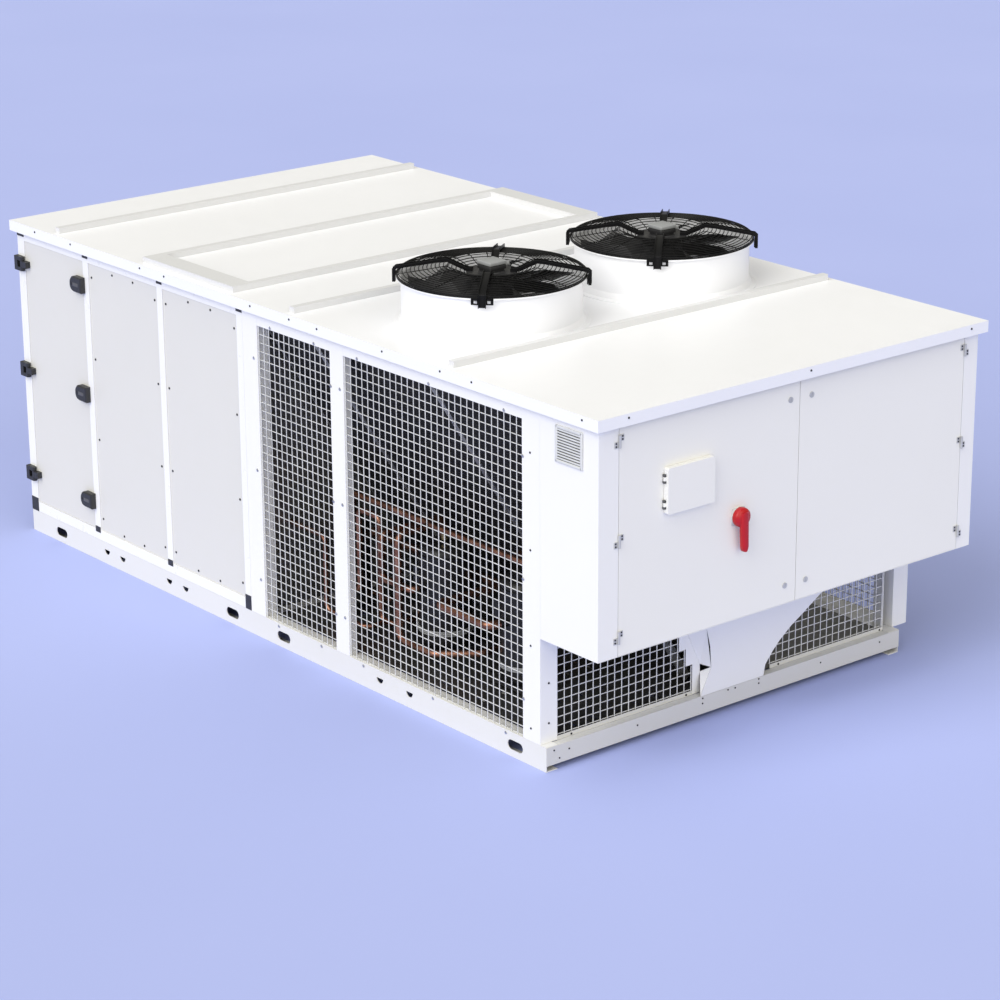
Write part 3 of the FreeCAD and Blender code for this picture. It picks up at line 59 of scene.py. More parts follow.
GUARD_STEP = 0.0180
GUARD_SPOKES = 16
CREST_R = 0.200                  # the guard is highest here
SHELL_X = -0.700                 # compressor axes
SHELL_R = 0.120
CLIPS_BEYOND_X = 1.05            # side clips lie outside this, the fixed hinge halves inside
SAME_POINT = 1e-6


def lo_hi(node):
    low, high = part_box(node)
    return Vector(low), Vector(high)


# ------------------------------------------------------------------ materials
def link(tree, a, b):
    tree.links.new(a, b)


def add(tree, kind, values=(), **props):
    node = tree.nodes.new(kind)
    for key, value in props.items():
        setattr(node, key, value)
    for key, value in dict(values).items():
        node.inputs[key].default_value = value
    return node


def place(tree, scale=(1, 1, 1), turn=(0, 0, 0)):
    """Object coordinates, scaled. They equal the row frame, because every piece sits at the origin."""
    coord = add(tree, "ShaderNodeTexCoord")
    mapping = add(tree, "ShaderNodeMapping", {"Scale": scale, "Rotation": turn})
    link(tree, coord.outputs["Object"], mapping.inputs["Vector"])
    return mapping.outputs["Vector"]


def noise(tree, scale, detail=4.0, stretch=(1, 1, 1), rough=0.55):
    node = add(tree, "ShaderNodeTexNoise", {"Scale": scale, "Detail": detail, "Roughness": rough})
    link(tree, place(tree, stretch), node.inputs["Vector"])
    return node.outputs["Fac"]


def ramp(tree, fac, stops):
    node = add(tree, "ShaderNodeValToRGB")
    elements = node.color_ramp.elements
    while len(elements) < len(stops):
        elements.new(0.5)
    for element, (position, colour) in zip(elements, stops):
        element.position = position
        element.color = (*colour, 1.0)
    link(tree, fac, node.inputs["Fac"])
    return node.outputs["Color"]


def span(tree, fac, low, high):
    node = add(tree, "ShaderNodeMapRange", {"From Min": 0.3, "From Max": 0.7, "To Min": low, "To Max": high})
    link(tree, fac, node.inputs["Value"])
    return node.outputs["Result"]


def bump(tree, bsdf, layers):
    """Stacks (height socket, strength, distance) layers into the shader's normal."""
    last = None
    for height, strength, distance in layers:
        node = add(tree, "ShaderNodeBump", {"Strength": strength, "Distance": distance})
        link(tree, height, node.inputs["Height"])
        if last:
            link(tree, last, node.inputs["Normal"])
        last = node.outputs["Normal"]
    link(tree, last, bsdf.inputs["Normal"])


def shade(colour, factor):
    return tuple(min(1.0, c * factor) for c in colour)


def start(name, metallic=0.0):
    mat = bpy.data.materials.new(name)
    mat.use_nodes = True
    bsdf = mat.node_tree.nodes["Principled BSDF"]
    bsdf.inputs["Metallic"].default_value = metallic
    return mat, mat.node_tree, bsdf


def coated_sheet(name, colour, rough=0.36, dirt=0.02, gloss=0.5):
    """Powder coated sheet: orange peel, slight sheet waviness and a little dust."""
    mat, tree, bsdf = start(name)
    base = ramp(tree, noise(tree, 1.3, 4.0), [(0.30, shade(colour, 1 - dirt)), (0.66, colour)])
    link(tree, base, bsdf.inputs["Base Color"])
    link(tree, span(tree, noise(tree, 14.0), rough - 0.04, rough + 0.08), bsdf.inputs["Roughness"])
    bump(tree, bsdf, [(noise(tree, 1.1, 1.0), 0.12, 0.003), (noise(tree, 620.0, 2.0), 0.08, 0.0003)])
    bsdf.inputs["Specular IOR Level"].default_value = gloss
    bsdf.inputs["Coat Weight"].default_value = 0.16 * gloss
    bsdf.inputs["Coat Roughness"].default_value = 0.3
    return mat


def galvanised(name, colour, rough=0.42):
    """Zinc spangle: crystals of slightly different tone with a brushed sheen."""
    mat, tree, bsdf = start(name, 0.85)
    cell = add(tree, "ShaderNodeTexVoronoi", {"Scale": 70.0, "Randomness": 1.0})
    link(tree, place(tree), cell.inputs["Vector"])
    grey = add(tree, "ShaderNodeRGBToBW")
    link(tree, cell.outputs["Color"], grey.inputs["Color"])
    tone = ramp(tree, grey.outputs["Val"], [(0.2, shade(colour, 0.92)), (0.8, shade(colour, 1.04))])
    link(tree, tone, bsdf.inputs["Base Color"])
    link(tree, span(tree, noise(tree, 30.0), rough - 0.1, rough + 0.1), bsdf.inputs["Roughness"])
    bump(tree, bsdf, [(grey.outputs["Val"], 0.06, 0.0004), (noise(tree, 400.0), 0.08, 0.0003)])
    return mat


def moulded(name, colour, rough=0.5, grain=900.0):
    """Moulded plastic: fine spark-eroded grain and faint flow marks."""
    mat, tree, bsdf = start(name)
    flow = noise(tree, 18.0, 3.0)
    tone = ramp(tree, flow, [(0.3, shade(colour, 0.94)), (0.7, shade(colour, 1.05))])
    link(tree, tone, bsdf.inputs["Base Color"])
    link(tree, span(tree, noise(tree, 60.0), rough - 0.08, rough + 0.08), bsdf.inputs["Roughness"])
    bump(tree, bsdf, [(noise(tree, grain, 2.0), 0.18, 0.0003)])
    return mat


def brushed(name, colour, rough=0.3, metallic=1.0, stretch=(1, 1, 40), mottle=0.15):
    """Drawn or machined metal: fine lines one way, mottled tone."""
    mat, tree, bsdf = start(name, metallic)
    stops = [(0.3, shade(colour, 1 - mottle)), (0.7, shade(colour, 1 + mottle * 0.5))]
    tone = ramp(tree, noise(tree, 9.0, 6.0), stops)
    link(tree, tone, bsdf.inputs["Base Color"])
    lines = noise(tree, 160.0, 3.0, stretch)
    link(tree, span(tree, lines, rough - 0.08, rough + 0.12), bsdf.inputs["Roughness"])
    bump(tree, bsdf, [(lines, 0.08, 0.0002), (noise(tree, 40.0), 0.05, 0.0006)])
    return mat


def cast(name, colour):
    """Rough cast metal with a coarse skin."""
    mat, tree, bsdf = start(name, 0.55)
    tone = ramp(tree, noise(tree, 25.0, 8.0), [(0.3, shade(colour, 0.7)), (0.7, shade(colour, 1.2))])
    link(tree, tone, bsdf.inputs["Base Color"])
    link(tree, span(tree, noise(tree, 80.0), 0.45, 0.7), bsdf.inputs["Roughness"])
    bump(tree, bsdf, [(noise(tree, 260.0, 5.0), 0.4, 0.0006)])
    return mat


def finned(name, dark, light, tilt, metallic=0.0):
    """Coil face: flat tubes across and fine fins between them, on coordinates tilted with the bank."""
    mat, tree, bsdf = start(name, metallic)
    bsdf.inputs["Specular IOR Level"].default_value = 0.25
    rows = add(tree, "ShaderNodeTexWave", {"Scale": 16.0, "Distortion": 0.0},
               wave_type="BANDS", bands_direction="Z")
    fins = add(tree, "ShaderNodeTexWave", {"Scale": 130.0, "Distortion": 0.3},
               wave_type="BANDS", bands_direction="Y")
    space = place(tree, (1, 1, 1), (0, tilt, 0))
    link(tree, space, rows.inputs["Vector"])
    link(tree, space, fins.inputs["Vector"])
    both = add(tree, "ShaderNodeMath", operation="MAXIMUM")
    link(tree, rows.outputs["Fac"], both.inputs[0])
    link(tree, fins.outputs["Fac"], both.inputs[1])
    link(tree, ramp(tree, both.outputs["Value"], [(0.45, dark), (0.95, light)]), bsdf.inputs["Base Color"])
    link(tree, span(tree, noise(tree, 20.0), 0.4, 0.65), bsdf.inputs["Roughness"])
    bump(tree, bsdf, [(rows.outputs["Fac"], 0.6, 0.003), (fins.outputs["Fac"], 0.5, 0.001)])
    return mat


def copper_tube(name):
    """Bare copper with darker oxide patches and heat tint."""
    mat, tree, bsdf = start(name, 1.0)
    patches = noise(tree, 12.0, 7.0)
    tone = ramp(tree, patches, [(0.30, (0.13, 0.06, 0.04)), (0.50, (0.30, 0.14, 0.09)),
                                (0.72, (0.52, 0.28, 0.19))])
    link(tree, tone, bsdf.inputs["Base Color"])
    link(tree, span(tree, noise(tree, 50.0), 0.30, 0.50), bsdf.inputs["Roughness"])
    bump(tree, bsdf, [(noise(tree, 120.0), 0.10, 0.0005)])
    return mat


def filter_cloth(name):
    """White fleece of the filters, slightly soiled."""
    mat, tree, bsdf = start(name)
    weave = add(tree, "ShaderNodeTexVoronoi", {"Scale": 900.0})
    link(tree, place(tree), weave.inputs["Vector"])
    tone = ramp(tree, noise(tree, 7.0, 5.0), [(0.3, (0.70, 0.71, 0.70)), (0.7, (0.90, 0.91, 0.92))])
    link(tree, tone, bsdf.inputs["Base Color"])
    bsdf.inputs["Roughness"].default_value = 0.95
    bump(tree, bsdf, [(weave.outputs["Distance"], 0.5, 0.001)])
    return mat


WHITE = coated_sheet("white powder coat", (0.875, 0.872, 0.860))
DOOR_WHITE = coated_sheet("door powder coat", (0.86, 0.852, 0.815), 0.40, 0.015)
PROFILE = coated_sheet("coated profile", (0.88, 0.878, 0.865), 0.30, 0.015)
PANEL = coated_sheet("light grey panel", (0.702, 0.692, 0.652), 0.42, 0.02)
# Cross rail coat: a darker grey than the long rails, as painted shade under the cabinet.
RAIL_PAINTED_SHADE = coated_sheet("rail coat", (0.665, 0.66, 0.635), 0.45, 0.04)
LONG_RAIL = coated_sheet("long rail coat", (0.76, 0.755, 0.73), 0.42, 0.03)
ZINC_SHEET = galvanised("galvanised sheet", (0.30, 0.30, 0.295))
# Floor tray: galvanised sheet made very dark, as painted shade inside the condenser bays.
FLOOR_TRAY_PAINTED_SHADE = galvanised("tray sheet with painted shade", (0.13, 0.13, 0.13))
# Roof seams: greyer than the roof sheets, as painted shade on the ribs' front faces.
SEAM_PAINTED_SHADE = coated_sheet("seam coat with painted shade", (0.70, 0.705, 0.72))
ROOF_WHITE = coated_sheet("roof powder coat", (0.885, 0.892, 0.925))
WIRE = brushed("galvanised wire", (0.76, 0.76, 0.745), 0.45, 0.2, (1, 1, 1))
BLACK_PLASTIC = moulded("black plastic", (0.022, 0.022, 0.024), 0.42)
BLADE = moulded("blade polymer", (0.018, 0.018, 0.020), 0.38, 500.0)
BLACK_STEEL = coated_sheet("black powder coat", (0.006, 0.006, 0.007), 0.42, 0.3, 0.15)
ENAMEL = coated_sheet("compressor enamel", (0.013, 0.013, 0.014), 0.34, 0.2, 0.3)
GREY_PLASTIC = moulded("grey plastic", (0.30, 0.31, 0.32), 0.45)
DARK_GREY = moulded("dark grey plastic", (0.09, 0.09, 0.095), 0.5)
LIGHT_PLASTIC = moulded("light grey plastic", (0.66, 0.67, 0.66), 0.45)
RED = moulded("red plastic", (0.46, 0.003, 0.006), 0.34, 900.0)
SCREEN = moulded("screen glass", (0.02, 0.05, 0.06), 0.12, 200.0)
COPPER = copper_tube("copper tube")
BRASS = brushed("braze and brass", (0.62, 0.50, 0.26), 0.35)
STEEL = brushed("ground steel", (0.55, 0.55, 0.56), 0.28, 1.0, (1, 1, 30))
ZINC = brushed("zinc plate", (0.60, 0.60, 0.585), 0.38, 0.5, (1, 1, 6))
ALLOY = brushed("mill aluminium", (0.62, 0.63, 0.64), 0.36, 0.9, (1, 20, 1))
IRON = cast("grey iron", (0.16, 0.16, 0.165))
CASE_IRON = cast("motor casting", (0.10, 0.12, 0.15))
SCREW_DARK = brushed("blackened screw", (0.05, 0.05, 0.052), 0.38, 0.7, (1, 1, 1))
COIL = finned("black coil", (0.003, 0.003, 0.004), (0.022, 0.022, 0.024), radians(32.8))
EVAPORATOR = finned("aluminium fins", (0.18, 0.19, 0.20), (0.72, 0.74, 0.76), 0.0, 0.4)
CLOTH = filter_cloth("filter cloth")

NODE_MATERIALS = {
    "base_long_rails": LONG_RAIL, "base_cross_rails": RAIL_PAINTED_SHADE, "floor_panels": FLOOR_TRAY_PAINTED_SHADE, "condenser_frame": WHITE,
    "ahu_frame": PROFILE, "plastic_caps": BLACK_PLASTIC, "insulated_panels": PANEL, "bulkheads": ZINC_SHEET,
    "roof_sheets": ROOF_WHITE, "roof_seams": SEAM_PAINTED_SHADE, "fan_shrouds": ROOF_WHITE, "fan_rotor_left": BLADE,
    "fan_rotor_right": BLADE, "front_centre_panel": WHITE, "condenser_coils": COIL, "coil_headers": ALLOY,
    "cabinet_shell": WHITE, "mounting_plate": ZINC_SHEET,
    "wiring_ducts": GREY_PLASTIC, "switchgear": DARK_GREY, "cabinet_door_left": DOOR_WHITE,
    "cabinet_door_right": DOOR_WHITE, "door_hinges_left": ZINC, "door_hinges_right": ZINC,
    "display_panel": DARK_GREY, "display_cover": DOOR_WHITE, "switch_collar": LIGHT_PLASTIC,
    "lock_upper_left": ZINC, "lock_lower_left": ZINC, "lock_upper_right": ZINC, "lock_lower_right": ZINC,
    "access_door": PANEL, "access_hinges": BLACK_PLASTIC, "latch_lower": BLACK_PLASTIC,
    "latch_middle": BLACK_PLASTIC, "latch_upper": BLACK_PLASTIC, "compressor_shells": ENAMEL,
    "compressor_feet": BLACK_PLASTIC, "compressor_stators": STEEL, "compressor_castings": IRON,
    "crankshaft_1": STEEL, "crankshaft_2": STEEL, "orbiting_scroll_1": IRON, "orbiting_scroll_2": IRON,
    "copper_pipes": COPPER, "liquid_receiver": ENAMEL, "evaporator_coil": EVAPORATOR,
    "air_filters": CLOTH, "supply_impeller": STEEL, "supply_motor": CASE_IRON,
}

EDGE_RADII = {
    "display_cover": 0.0022, "access_hinges": 0.0030, "plastic_caps": 0.0020,
    "latch_lower": 0.0020, "latch_middle": 0.0020, "latch_upper": 0.0020,
}


def paint_nodes():
    """Gives every CAD node its material, and rounds the edges of the moulded ones."""
    for name, material in NODE_MATERIALS.items():
        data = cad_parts[name].data
        if name in EDGE_RADII:
            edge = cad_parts[name].modifiers.new("edge", "BEVEL")
            edge.width = EDGE_RADII[name]
            edge.segments = 3
            edge.limit_method = "ANGLE"
            edge.angle_limit = radians(40)
        if not data.materials:
            data.materials.append(material)
        for i in range(len(data.materials)):
            data.materials[i] = material


# ------------------------------------------------------------------ mesh building
def finish_piece(name, bm, material, body=BODY, replaces=(), smooth=35):
    """Turns bm into an object on its body. Edges sharper than smooth degrees stay sharp."""
    bmesh.ops.recalc_face_normals(bm, faces=bm.faces)
    mesh = bpy.data.meshes.new(name)
    bm.to_mesh(mesh)
    bm.free()
    mesh.materials.append(material)
    for polygon in mesh.polygons:
        polygon.use_smooth = True
    mesh.set_sharp_from_angle(angle=radians(smooth))
    obj = bpy.data.objects.new(name, mesh)
    bpy.context.scene.collection.objects.link(obj)
    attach(obj, body)
    if replaces:
        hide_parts(*replaces)
    return obj


def basis(direction):
    """Two unit vectors square to direction."""
    d = direction.normalized()
    helper = Vector((0, 0, 1)) if abs(d.z) < 0.9 else Vector((1, 0, 0))
    u = d.cross(helper).normalized()
    return u, d.cross(u).normalized()


def ring(bm, centre, u, v, r, sides):
    """New vertices on a circle about centre, in the plane of u and v."""
    turns = [2 * pi * k / sides for k in range(sides)]
    return [bm.verts.new(centre + u * (r * cos(a)) + v * (r * sin(a))) for a in turns]


def skin(bm, rows):
    """Joins each closed row of vertices to the next with quads."""
    for a, b in zip(rows, rows[1:]):
        for k in range(len(a)):
            m = (k + 1) % len(a)
            bm.faces.new((a[k], a[m], b[m], b[k]))


def closed_skin(bm, rows):
    """The same, with both ends closed."""
    skin(bm, rows)
    bm.faces.new(list(reversed(rows[0])))
    bm.faces.new(rows[-1])


def rod(bm, a, b, r, sides=8):
    """Straight round bar with closed ends."""
    u, v = basis(b - a)
    closed_skin(bm, [ring(bm, end, u, v, r, sides) for end in (a, b)])


def hoop(bm, centre, radius, z, r, steps=96, sides=8):
    """Round wire bent to a full circle about the vertical through centre."""
    rows = []
    for i in range(steps):
        a = 2 * pi * i / steps
        out = Vector((cos(a), sin(a), 0))
        mid = Vector((centre[0], centre[1], z)) + out * radius
        rows.append(ring(bm, mid, out, Vector((0, 0, 1)), r, sides))
    for i in range(steps):
        for k in range(sides):
            m = (k + 1) % sides
            n = (i + 1) % steps
            bm.faces.new((rows[i][k], rows[n][k], rows[n][m], rows[i][m]))


def wire_path(bm, points, r, sides=6):
    """Bent wire through the points, mitred at the corners, ends closed."""
    u = basis(points[1] - points[0])[0]
    rows = []
    for i, p in enumerate(points):
        before = (p - points[i - 1]).normalized() if i else (points[1] - p).normalized()
        after = (points[i + 1] - p).normalized() if i + 1 < len(points) else before
        tangent = (before + after).normalized()
        u = (u - tangent * u.dot(tangent)).normalized()
        rows.append(ring(bm, p, u, tangent.cross(u), r, sides))
    closed_skin(bm, rows)


def lathe(bm, profile, place_matrix, steps=32):
    """Turns (radius, height) points about local z. Ends on the axis are closed to one point."""
    turns = [2 * pi * i / steps for i in range(steps)]
    rows = []
    for r, h in profile:
        if r < SAME_POINT:
            points = [Vector((0, 0, h))]
        else:
            points = [Vector((r * cos(a), r * sin(a), h)) for a in turns]
        rows.append([bm.verts.new(place_matrix @ point) for point in points])
    for a, b in zip(rows, rows[1:]):
        for i in range(steps):
            j = (i + 1) % steps
            if len(a) == 1:
                bm.faces.new((a[0], b[j], b[i]))
            elif len(b) == 1:
                bm.faces.new((a[i], a[j], b[0]))
            else:
                bm.faces.new((a[i], a[j], b[j], b[i]))


def facing(centre, normal):
    """Matrix whose local z points along normal, at centre."""
    u, v = basis(normal)
    w = normal.normalized()
    matrix = Matrix((u, v, w)).transposed().to_4x4()
    matrix.translation = centre
    return matrix


def soft_box(bm, low, high, r, segments=3, matrix=None):
    """Box with rounded edges."""
    made = bmesh.ops.create_cube(bm, size=1.0)
    centre = (Vector(low) + Vector(high)) / 2
    size = Vector(high) - Vector(low)
    verts = made["verts"]
    for v in verts:
        v.co = Vector((v.co.x * size.x, v.co.y * size.y, v.co.z * size.z)) + centre
    edges = {e for v in verts for e in v.link_edges}
    out = bmesh.ops.bevel(bm, geom=list(edges), offset=r, segments=segments, affect="EDGES", profile=0.5)
    if matrix:
        moved = {v for f in out["faces"] for v in f.verts}
        bmesh.ops.transform(bm, matrix=matrix, verts=list(moved))


def islands(node):
    """The separate solids of a CAD node as (low corner, high corner) pairs."""
    bm = bmesh.new()
    bm.from_mesh(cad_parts[node].data)
    bmesh.ops.remove_doubles(bm, verts=bm.verts, dist=SAME_POINT)
    seen = set()
    found = []
    for vert in bm.verts:
        if vert in seen:
            continue
        stack, group = [vert], []
        seen.add(vert)
        while stack:
            v = stack.pop()
            group.append(v.co.copy())
            for edge in v.link_edges:
                other = edge.other_vert(v)
                if other not in seen:
                    seen.add(other)
                    stack.append(other)
        low = Vector([min(p[i] for p in group) for i in range(3)])
        high = Vector([max(p[i] for p in group) for i in range(3)])
        found.append((low, high))
    bm.free()
    return found


# ------------------------------------------------------------------ welded mesh
def mesh_wires(bm, corner, u, v, out, width, height, top_of=None, end_of=None):
    """Two layers of round wires. top_of(s) and end_of(t) shorten wires along a slanting edge."""
    cols = round(width / MESH_PITCH)
    rows = round(height / MESH_PITCH)
    r = WIRE_R
    layer = out * (r * 0.98)         # the layers sink into each other a little, as welds do
    for i in range(cols + 1):
        s = r + (width - 2 * r) * i / cols
        top = top_of(s) if top_of else height
        if top > SHORTEST_WIRE:
            foot = corner + u * s
            rod(bm, foot + layer, foot + v * min(top, height) + layer, r)
    for j in range(rows + 1):
        t = r + (height - 2 * r) * j / rows
        end = end_of(t) if end_of else width
        rod(bm, corner + v * t - layer, corner + u * min(end, width) + v * t - layer, r)


def build_side_meshes():
    """Welded mesh in both side openings of the condenser section."""
    for node, side in (("side_mesh_left", -1), ("side_mesh_right", 1)):
        bm = bmesh.new()
        for low, high in islands(node):
            face = low.x if side < 0 else high.x
            corner = Vector((face - side * 2 * WIRE_R, low.y, low.z))
            mesh_wires(bm, corner, Vector((0, 1, 0)), Vector((0, 0, 1)), Vector((side, 0, 0)),
                       high.y - low.y, high.z - low.z)
        finish_piece(node + "_wires", bm, WIRE, replaces=(node,), smooth=60)


def build_front_mesh():
    """Front guards: the left one is cut in steps along the slanting coil, the right one is whole."""
    bm = bmesh.new()
    steps = ((0.245, -0.240), (0.335, -0.282), (9.0, -0.324))    # (up to this z, the mesh ends at this x)
    for low, high in islands("front_mesh"):
        width, height = high.x - low.x, high.z - low.z
        corner = Vector((low.x, low.y + 2 * WIRE_R, low.z))
        end_of = top_of = None
        if low.x < 0:
            def end_of(t):
                return next(x for z, x in steps if low.z + t < z) - low.x

            def top_of(s):
                return next((z - low.z for z, x in reversed(steps) if low.x + s <= x + 0.002), 0.0)

        mesh_wires(bm, corner, Vector((1, 0, 0)), Vector((0, 0, 1)), Vector((0, -1, 0)), width, height,
                   top_of, end_of)
    finish_piece("front_mesh_wires", bm, WIRE, replaces=("front_mesh",), smooth=60)


# ------------------------------------------------------------------ fans
def guard_height(r):
    """Low dome that dips towards the motor."""
    crest = SHROUD_Z + 0.044
    outer_slope, inner_slope = 0.1376, 0.41
    if r > CREST_R:
        return crest - (r - CREST_R) * outer_slope
    return crest - (CREST_R - r) * inner_slope


def build_guards():
    """Wire rings on spokes, and two thicker rings on the shroud's lip."""
    bm = bmesh.new()
    wire = GUARD_WIRE_R
    stations = (0.116, 0.160, CREST_R, 0.270, 0.340, 0.409)
    for x in FAN_X:
        centre = (x, FAN_Y)
        for i in range(GUARD_RINGS):
            radius = GUARD_FIRST_R + GUARD_STEP * i
            hoop(bm, centre, radius, guard_height(radius) + wire, wire, 96, 6)
        for z in (0.0035, 0.0105):
            hoop(bm, centre, LIP_R - 0.0035, SHROUD_Z + z, 0.0032)
        for i in range(GUARD_SPOKES):
            a = 2 * pi * (i + 0.5) / GUARD_SPOKES
            out = Vector((cos(a), sin(a), 0))
            base = Vector((x, FAN_Y, 0))
            points = [base + out * r + Vector((0, 0, guard_height(r) - wire)) for r in stations]
            points.append(base + out * (LIP_R - 0.008) + Vector((0, 0, SHROUD_Z + 0.006)))
            wire_path(bm, points, wire)
    finish_piece("fan_guard_wires", bm, BLACK_STEEL, replaces=("fan_guards",), smooth=60)


def channel(bm, spine, width, wall, flange, matrix):
    """U channel that follows the spine (radius, height), open upwards, with both ends closed."""
    half = width / 2
    section = [(-half, flange), (-half, 0), (half, 0), (half, flange), (half - wall, flange),
               (half - wall, wall), (-half + wall, wall), (-half + wall, flange)]
    rows = []
    for i, (r, z) in enumerate(spine):
        before = Vector((r, z)) - Vector(spine[i - 1]) if i else Vector(spine[1]) - Vector((r, z))
        after = Vector(spine[i + 1]) - Vector((r, z)) if i + 1 < len(spine) else before
        along = (before.normalized() + after.normalized()).normalized()
        up = Vector((-along.y, along.x))
        stretch = 1.0 / max(0.5, up.dot(Vector((-before.normalized().y, before.normalized().x))))
        row = []
        for across, rise in section:
            q = Vector((r, z)) + up * (rise * stretch)
            row.append(bm.verts.new(matrix @ Vector((q.x, across, q.y))))
        rows.append(row)
    closed_skin(bm, rows)


def build_arms():
    """Four channels on each fan that carry the motor, each with a slotted plate on the shroud."""
    bm = bmesh.new()
    out = LIP_R + 0.004
    spine = [(0.082, MOTOR_TOP + 0.0005), (0.111, MOTOR_TOP + 0.0005), (0.197, SHROUD_Z + 0.056),
             (0.203, SHROUD_Z + 0.0565), (out - 0.006, SHROUD_Z + 0.0200), (out, SHROUD_Z + 0.0145),
             (out, SHROUD_Z - 0.038)]
    plate_z0, plate_z1 = SHROUD_Z - 0.026, SHROUD_Z + 0.002
    for x in FAN_X:
        for i in range(4):
            turn = Matrix.Translation((x, FAN_Y, 0)) @ Matrix.Rotation(radians(45 + 90 * i), 4, "Z")
            channel(bm, spine, 0.034, 0.003, 0.0135, turn)
            for y0, y1 in ((-0.048, -0.036), (-0.022, -0.010), (0.010, 0.022), (0.036, 0.048)):
                soft_box(bm, (LIP_R + 0.0003, y0, plate_z0), (out + 0.001, y1, plate_z1), 0.0006, 1, turn)
            for z0, z1 in ((plate_z0, plate_z0 + 0.006), (plate_z1 - 0.010, plate_z1)):
                soft_box(bm, (LIP_R + 0.0003, -0.048, z0), (out + 0.001, 0.048, z1), 0.0006, 1, turn)
    finish_piece("fan_arm_channels", bm, BLACK_STEEL, replaces=("fan_arms",))


def build_motors():
    """External rotor motors with cooling ribs, a square terminal box, its lid and a cable gland."""
    body, lid = bmesh.new(), bmesh.new()
    base = SHROUD_Z - 0.020
    ribs = 18
    for x in FAN_X:
        at = Matrix.Translation((x, FAN_Y, 0))
        lathe(body, [(0, base - 0.090), (0.012, base - 0.090), (0.012, base), (0.074, base),
                     (0.078, base + 0.004), (0.078, MOTOR_TOP - 0.008), (0.112, MOTOR_TOP - 0.008),
                     (0.112, MOTOR_TOP), (0.060, MOTOR_TOP), (0.058, MOTOR_TOP + 0.003),
                     (0, MOTOR_TOP + 0.003)], at, 48)
        z0, z1 = SHROUD_Z + 0.047, SHROUD_Z + 0.0645
        for bm, half, low_z, high_z, r in ((body, 0.040, MOTOR_TOP + 0.0005, z0 - 0.020, 0.004),
                                           (body, 0.046, z0 - 0.021, z0 - 0.0005, 0.005),
                                           (lid, 0.0475, z0, z1, 0.005)):
            soft_box(bm, (x - half, FAN_Y - half, low_z), (x + half, FAN_Y + half, high_z), r)
        for dx in (-0.037, 0.037):
            for dy in (-0.037, 0.037):
                lathe(lid, [(0, z1 - 0.0005), (0.005, z1 - 0.0005), (0.004, z1 + 0.0005), (0, z1 + 0.0005)],
                      Matrix.Translation((x + dx, FAN_Y + dy, 0)), 12)
        gland = facing(Vector((x + 0.046, FAN_Y - 0.020, MOTOR_TOP + 0.024)), Vector((1, 0, 0)))
        lathe(lid, [(0, 0), (0.012, 0), (0.012, 0.010), (0.0095, 0.012), (0.0095, 0.028), (0.006, 0.034),
                    (0, 0.034)], gland, 12)
        for i in range(ribs):
            turn = at @ Matrix.Rotation(2 * pi * i / ribs, 4, "Z")
            soft_box(body, (0.076, -0.002, base + 0.006), (0.092, 0.002, MOTOR_TOP - 0.009), 0.0008, 1, turn)
    finish_piece("fan_motor_bodies", body, BLACK_PLASTIC, replaces=("fan_motors",))
    finish_piece("fan_terminal_lids", lid, GREY_PLASTIC, replaces=("fan_motors",))


# ------------------------------------------------------------------ fasteners
def thin_axis(low, high):
    """Number of the axis along which the box is thinnest."""
    size = high - low
    return min(range(3), key=lambda i: size[i])


def screw_profile(r, h):
    """Domed head with a round drive recess, for lathe."""
    return [(0, 0), (r, 0), (r, h * 0.45), (r * 0.86, h * 0.82), (r * 0.55, h), (r * 0.34, h),
            (r * 0.30, h * 0.5), (0, h * 0.5)]


def build_panel_screws():
    """Domed heads with a round drive recess, one for each plain head of the CAD node."""
    bm = bmesh.new()
    for low, high in islands("panel_screws"):
        axis = thin_axis(low, high)
        centre = (low + high) / 2
        sign = 1 if centre[axis] > 0 else -1
        normal = Vector([sign if i == axis else 0 for i in range(3)])
        seat = centre.copy()
        seat[axis] = low[axis] if sign > 0 else high[axis]
        r = (high[(axis + 1) % 3] - low[(axis + 1) % 3]) / 2
        lathe(bm, screw_profile(r, high[axis] - low[axis]), facing(seat, normal), 12)
    finish_piece("panel_screw_heads", bm, SCREW_DARK, replaces=("panel_screws",))


def build_mesh_clips():
    """Washers and hexagon heads that hold the mesh, and the frame halves of the door hinges."""
    washers, heads, leaves = bmesh.new(), bmesh.new(), bmesh.new()
    for low, high in islands("mesh_clips"):
        centre = (low + high) / 2
        if abs(centre.x) > CLIPS_BEYOND_X:
            sign = 1 if centre.x > 0 else -1
            seat = Vector((low.x if sign > 0 else high.x, centre.y, centre.z))
            at = facing(seat, Vector((sign, 0, 0)))
            r = (high.z - low.z) / 2
            lathe(washers, [(0, 0), (r, 0), (r, 0.0012), (r * 0.92, 0.0018), (0, 0.0018)], at, 20)
            lathe(heads, [(0, 0.0018), (0.0065, 0.0018), (0.0065, 0.0030), (0.0055, 0.0035), (0, 0.0035)],
                  at, 6)
    copy_islands(leaves, "mesh_clips", lambda c: abs(c.x) < CLIPS_BEYOND_X)
    finish_piece("mesh_washers", washers, ZINC, replaces=("mesh_clips",))
    finish_piece("mesh_clip_bolts", heads, STEEL)
    finish_piece("door_hinge_frame_leaves", leaves, ZINC, replaces=("mesh_clips",))


def copy_islands(target, node, keep):
    """Copies the faces of those solids of a CAD node whose face centres pass keep."""
    source = bmesh.new()
    source.from_mesh(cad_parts[node].data)
    bmesh.ops.remove_doubles(source, verts=source.verts, dist=SAME_POINT)
    made = {}
    for face in source.faces:
        if not keep(face.calc_center_median()):
            continue
        corners = []
        for v in face.verts:
            if v not in made:
                made[v] = target.verts.new(v.co)
            corners.append(made[v])
        target.faces.new(corners)
    source.free()


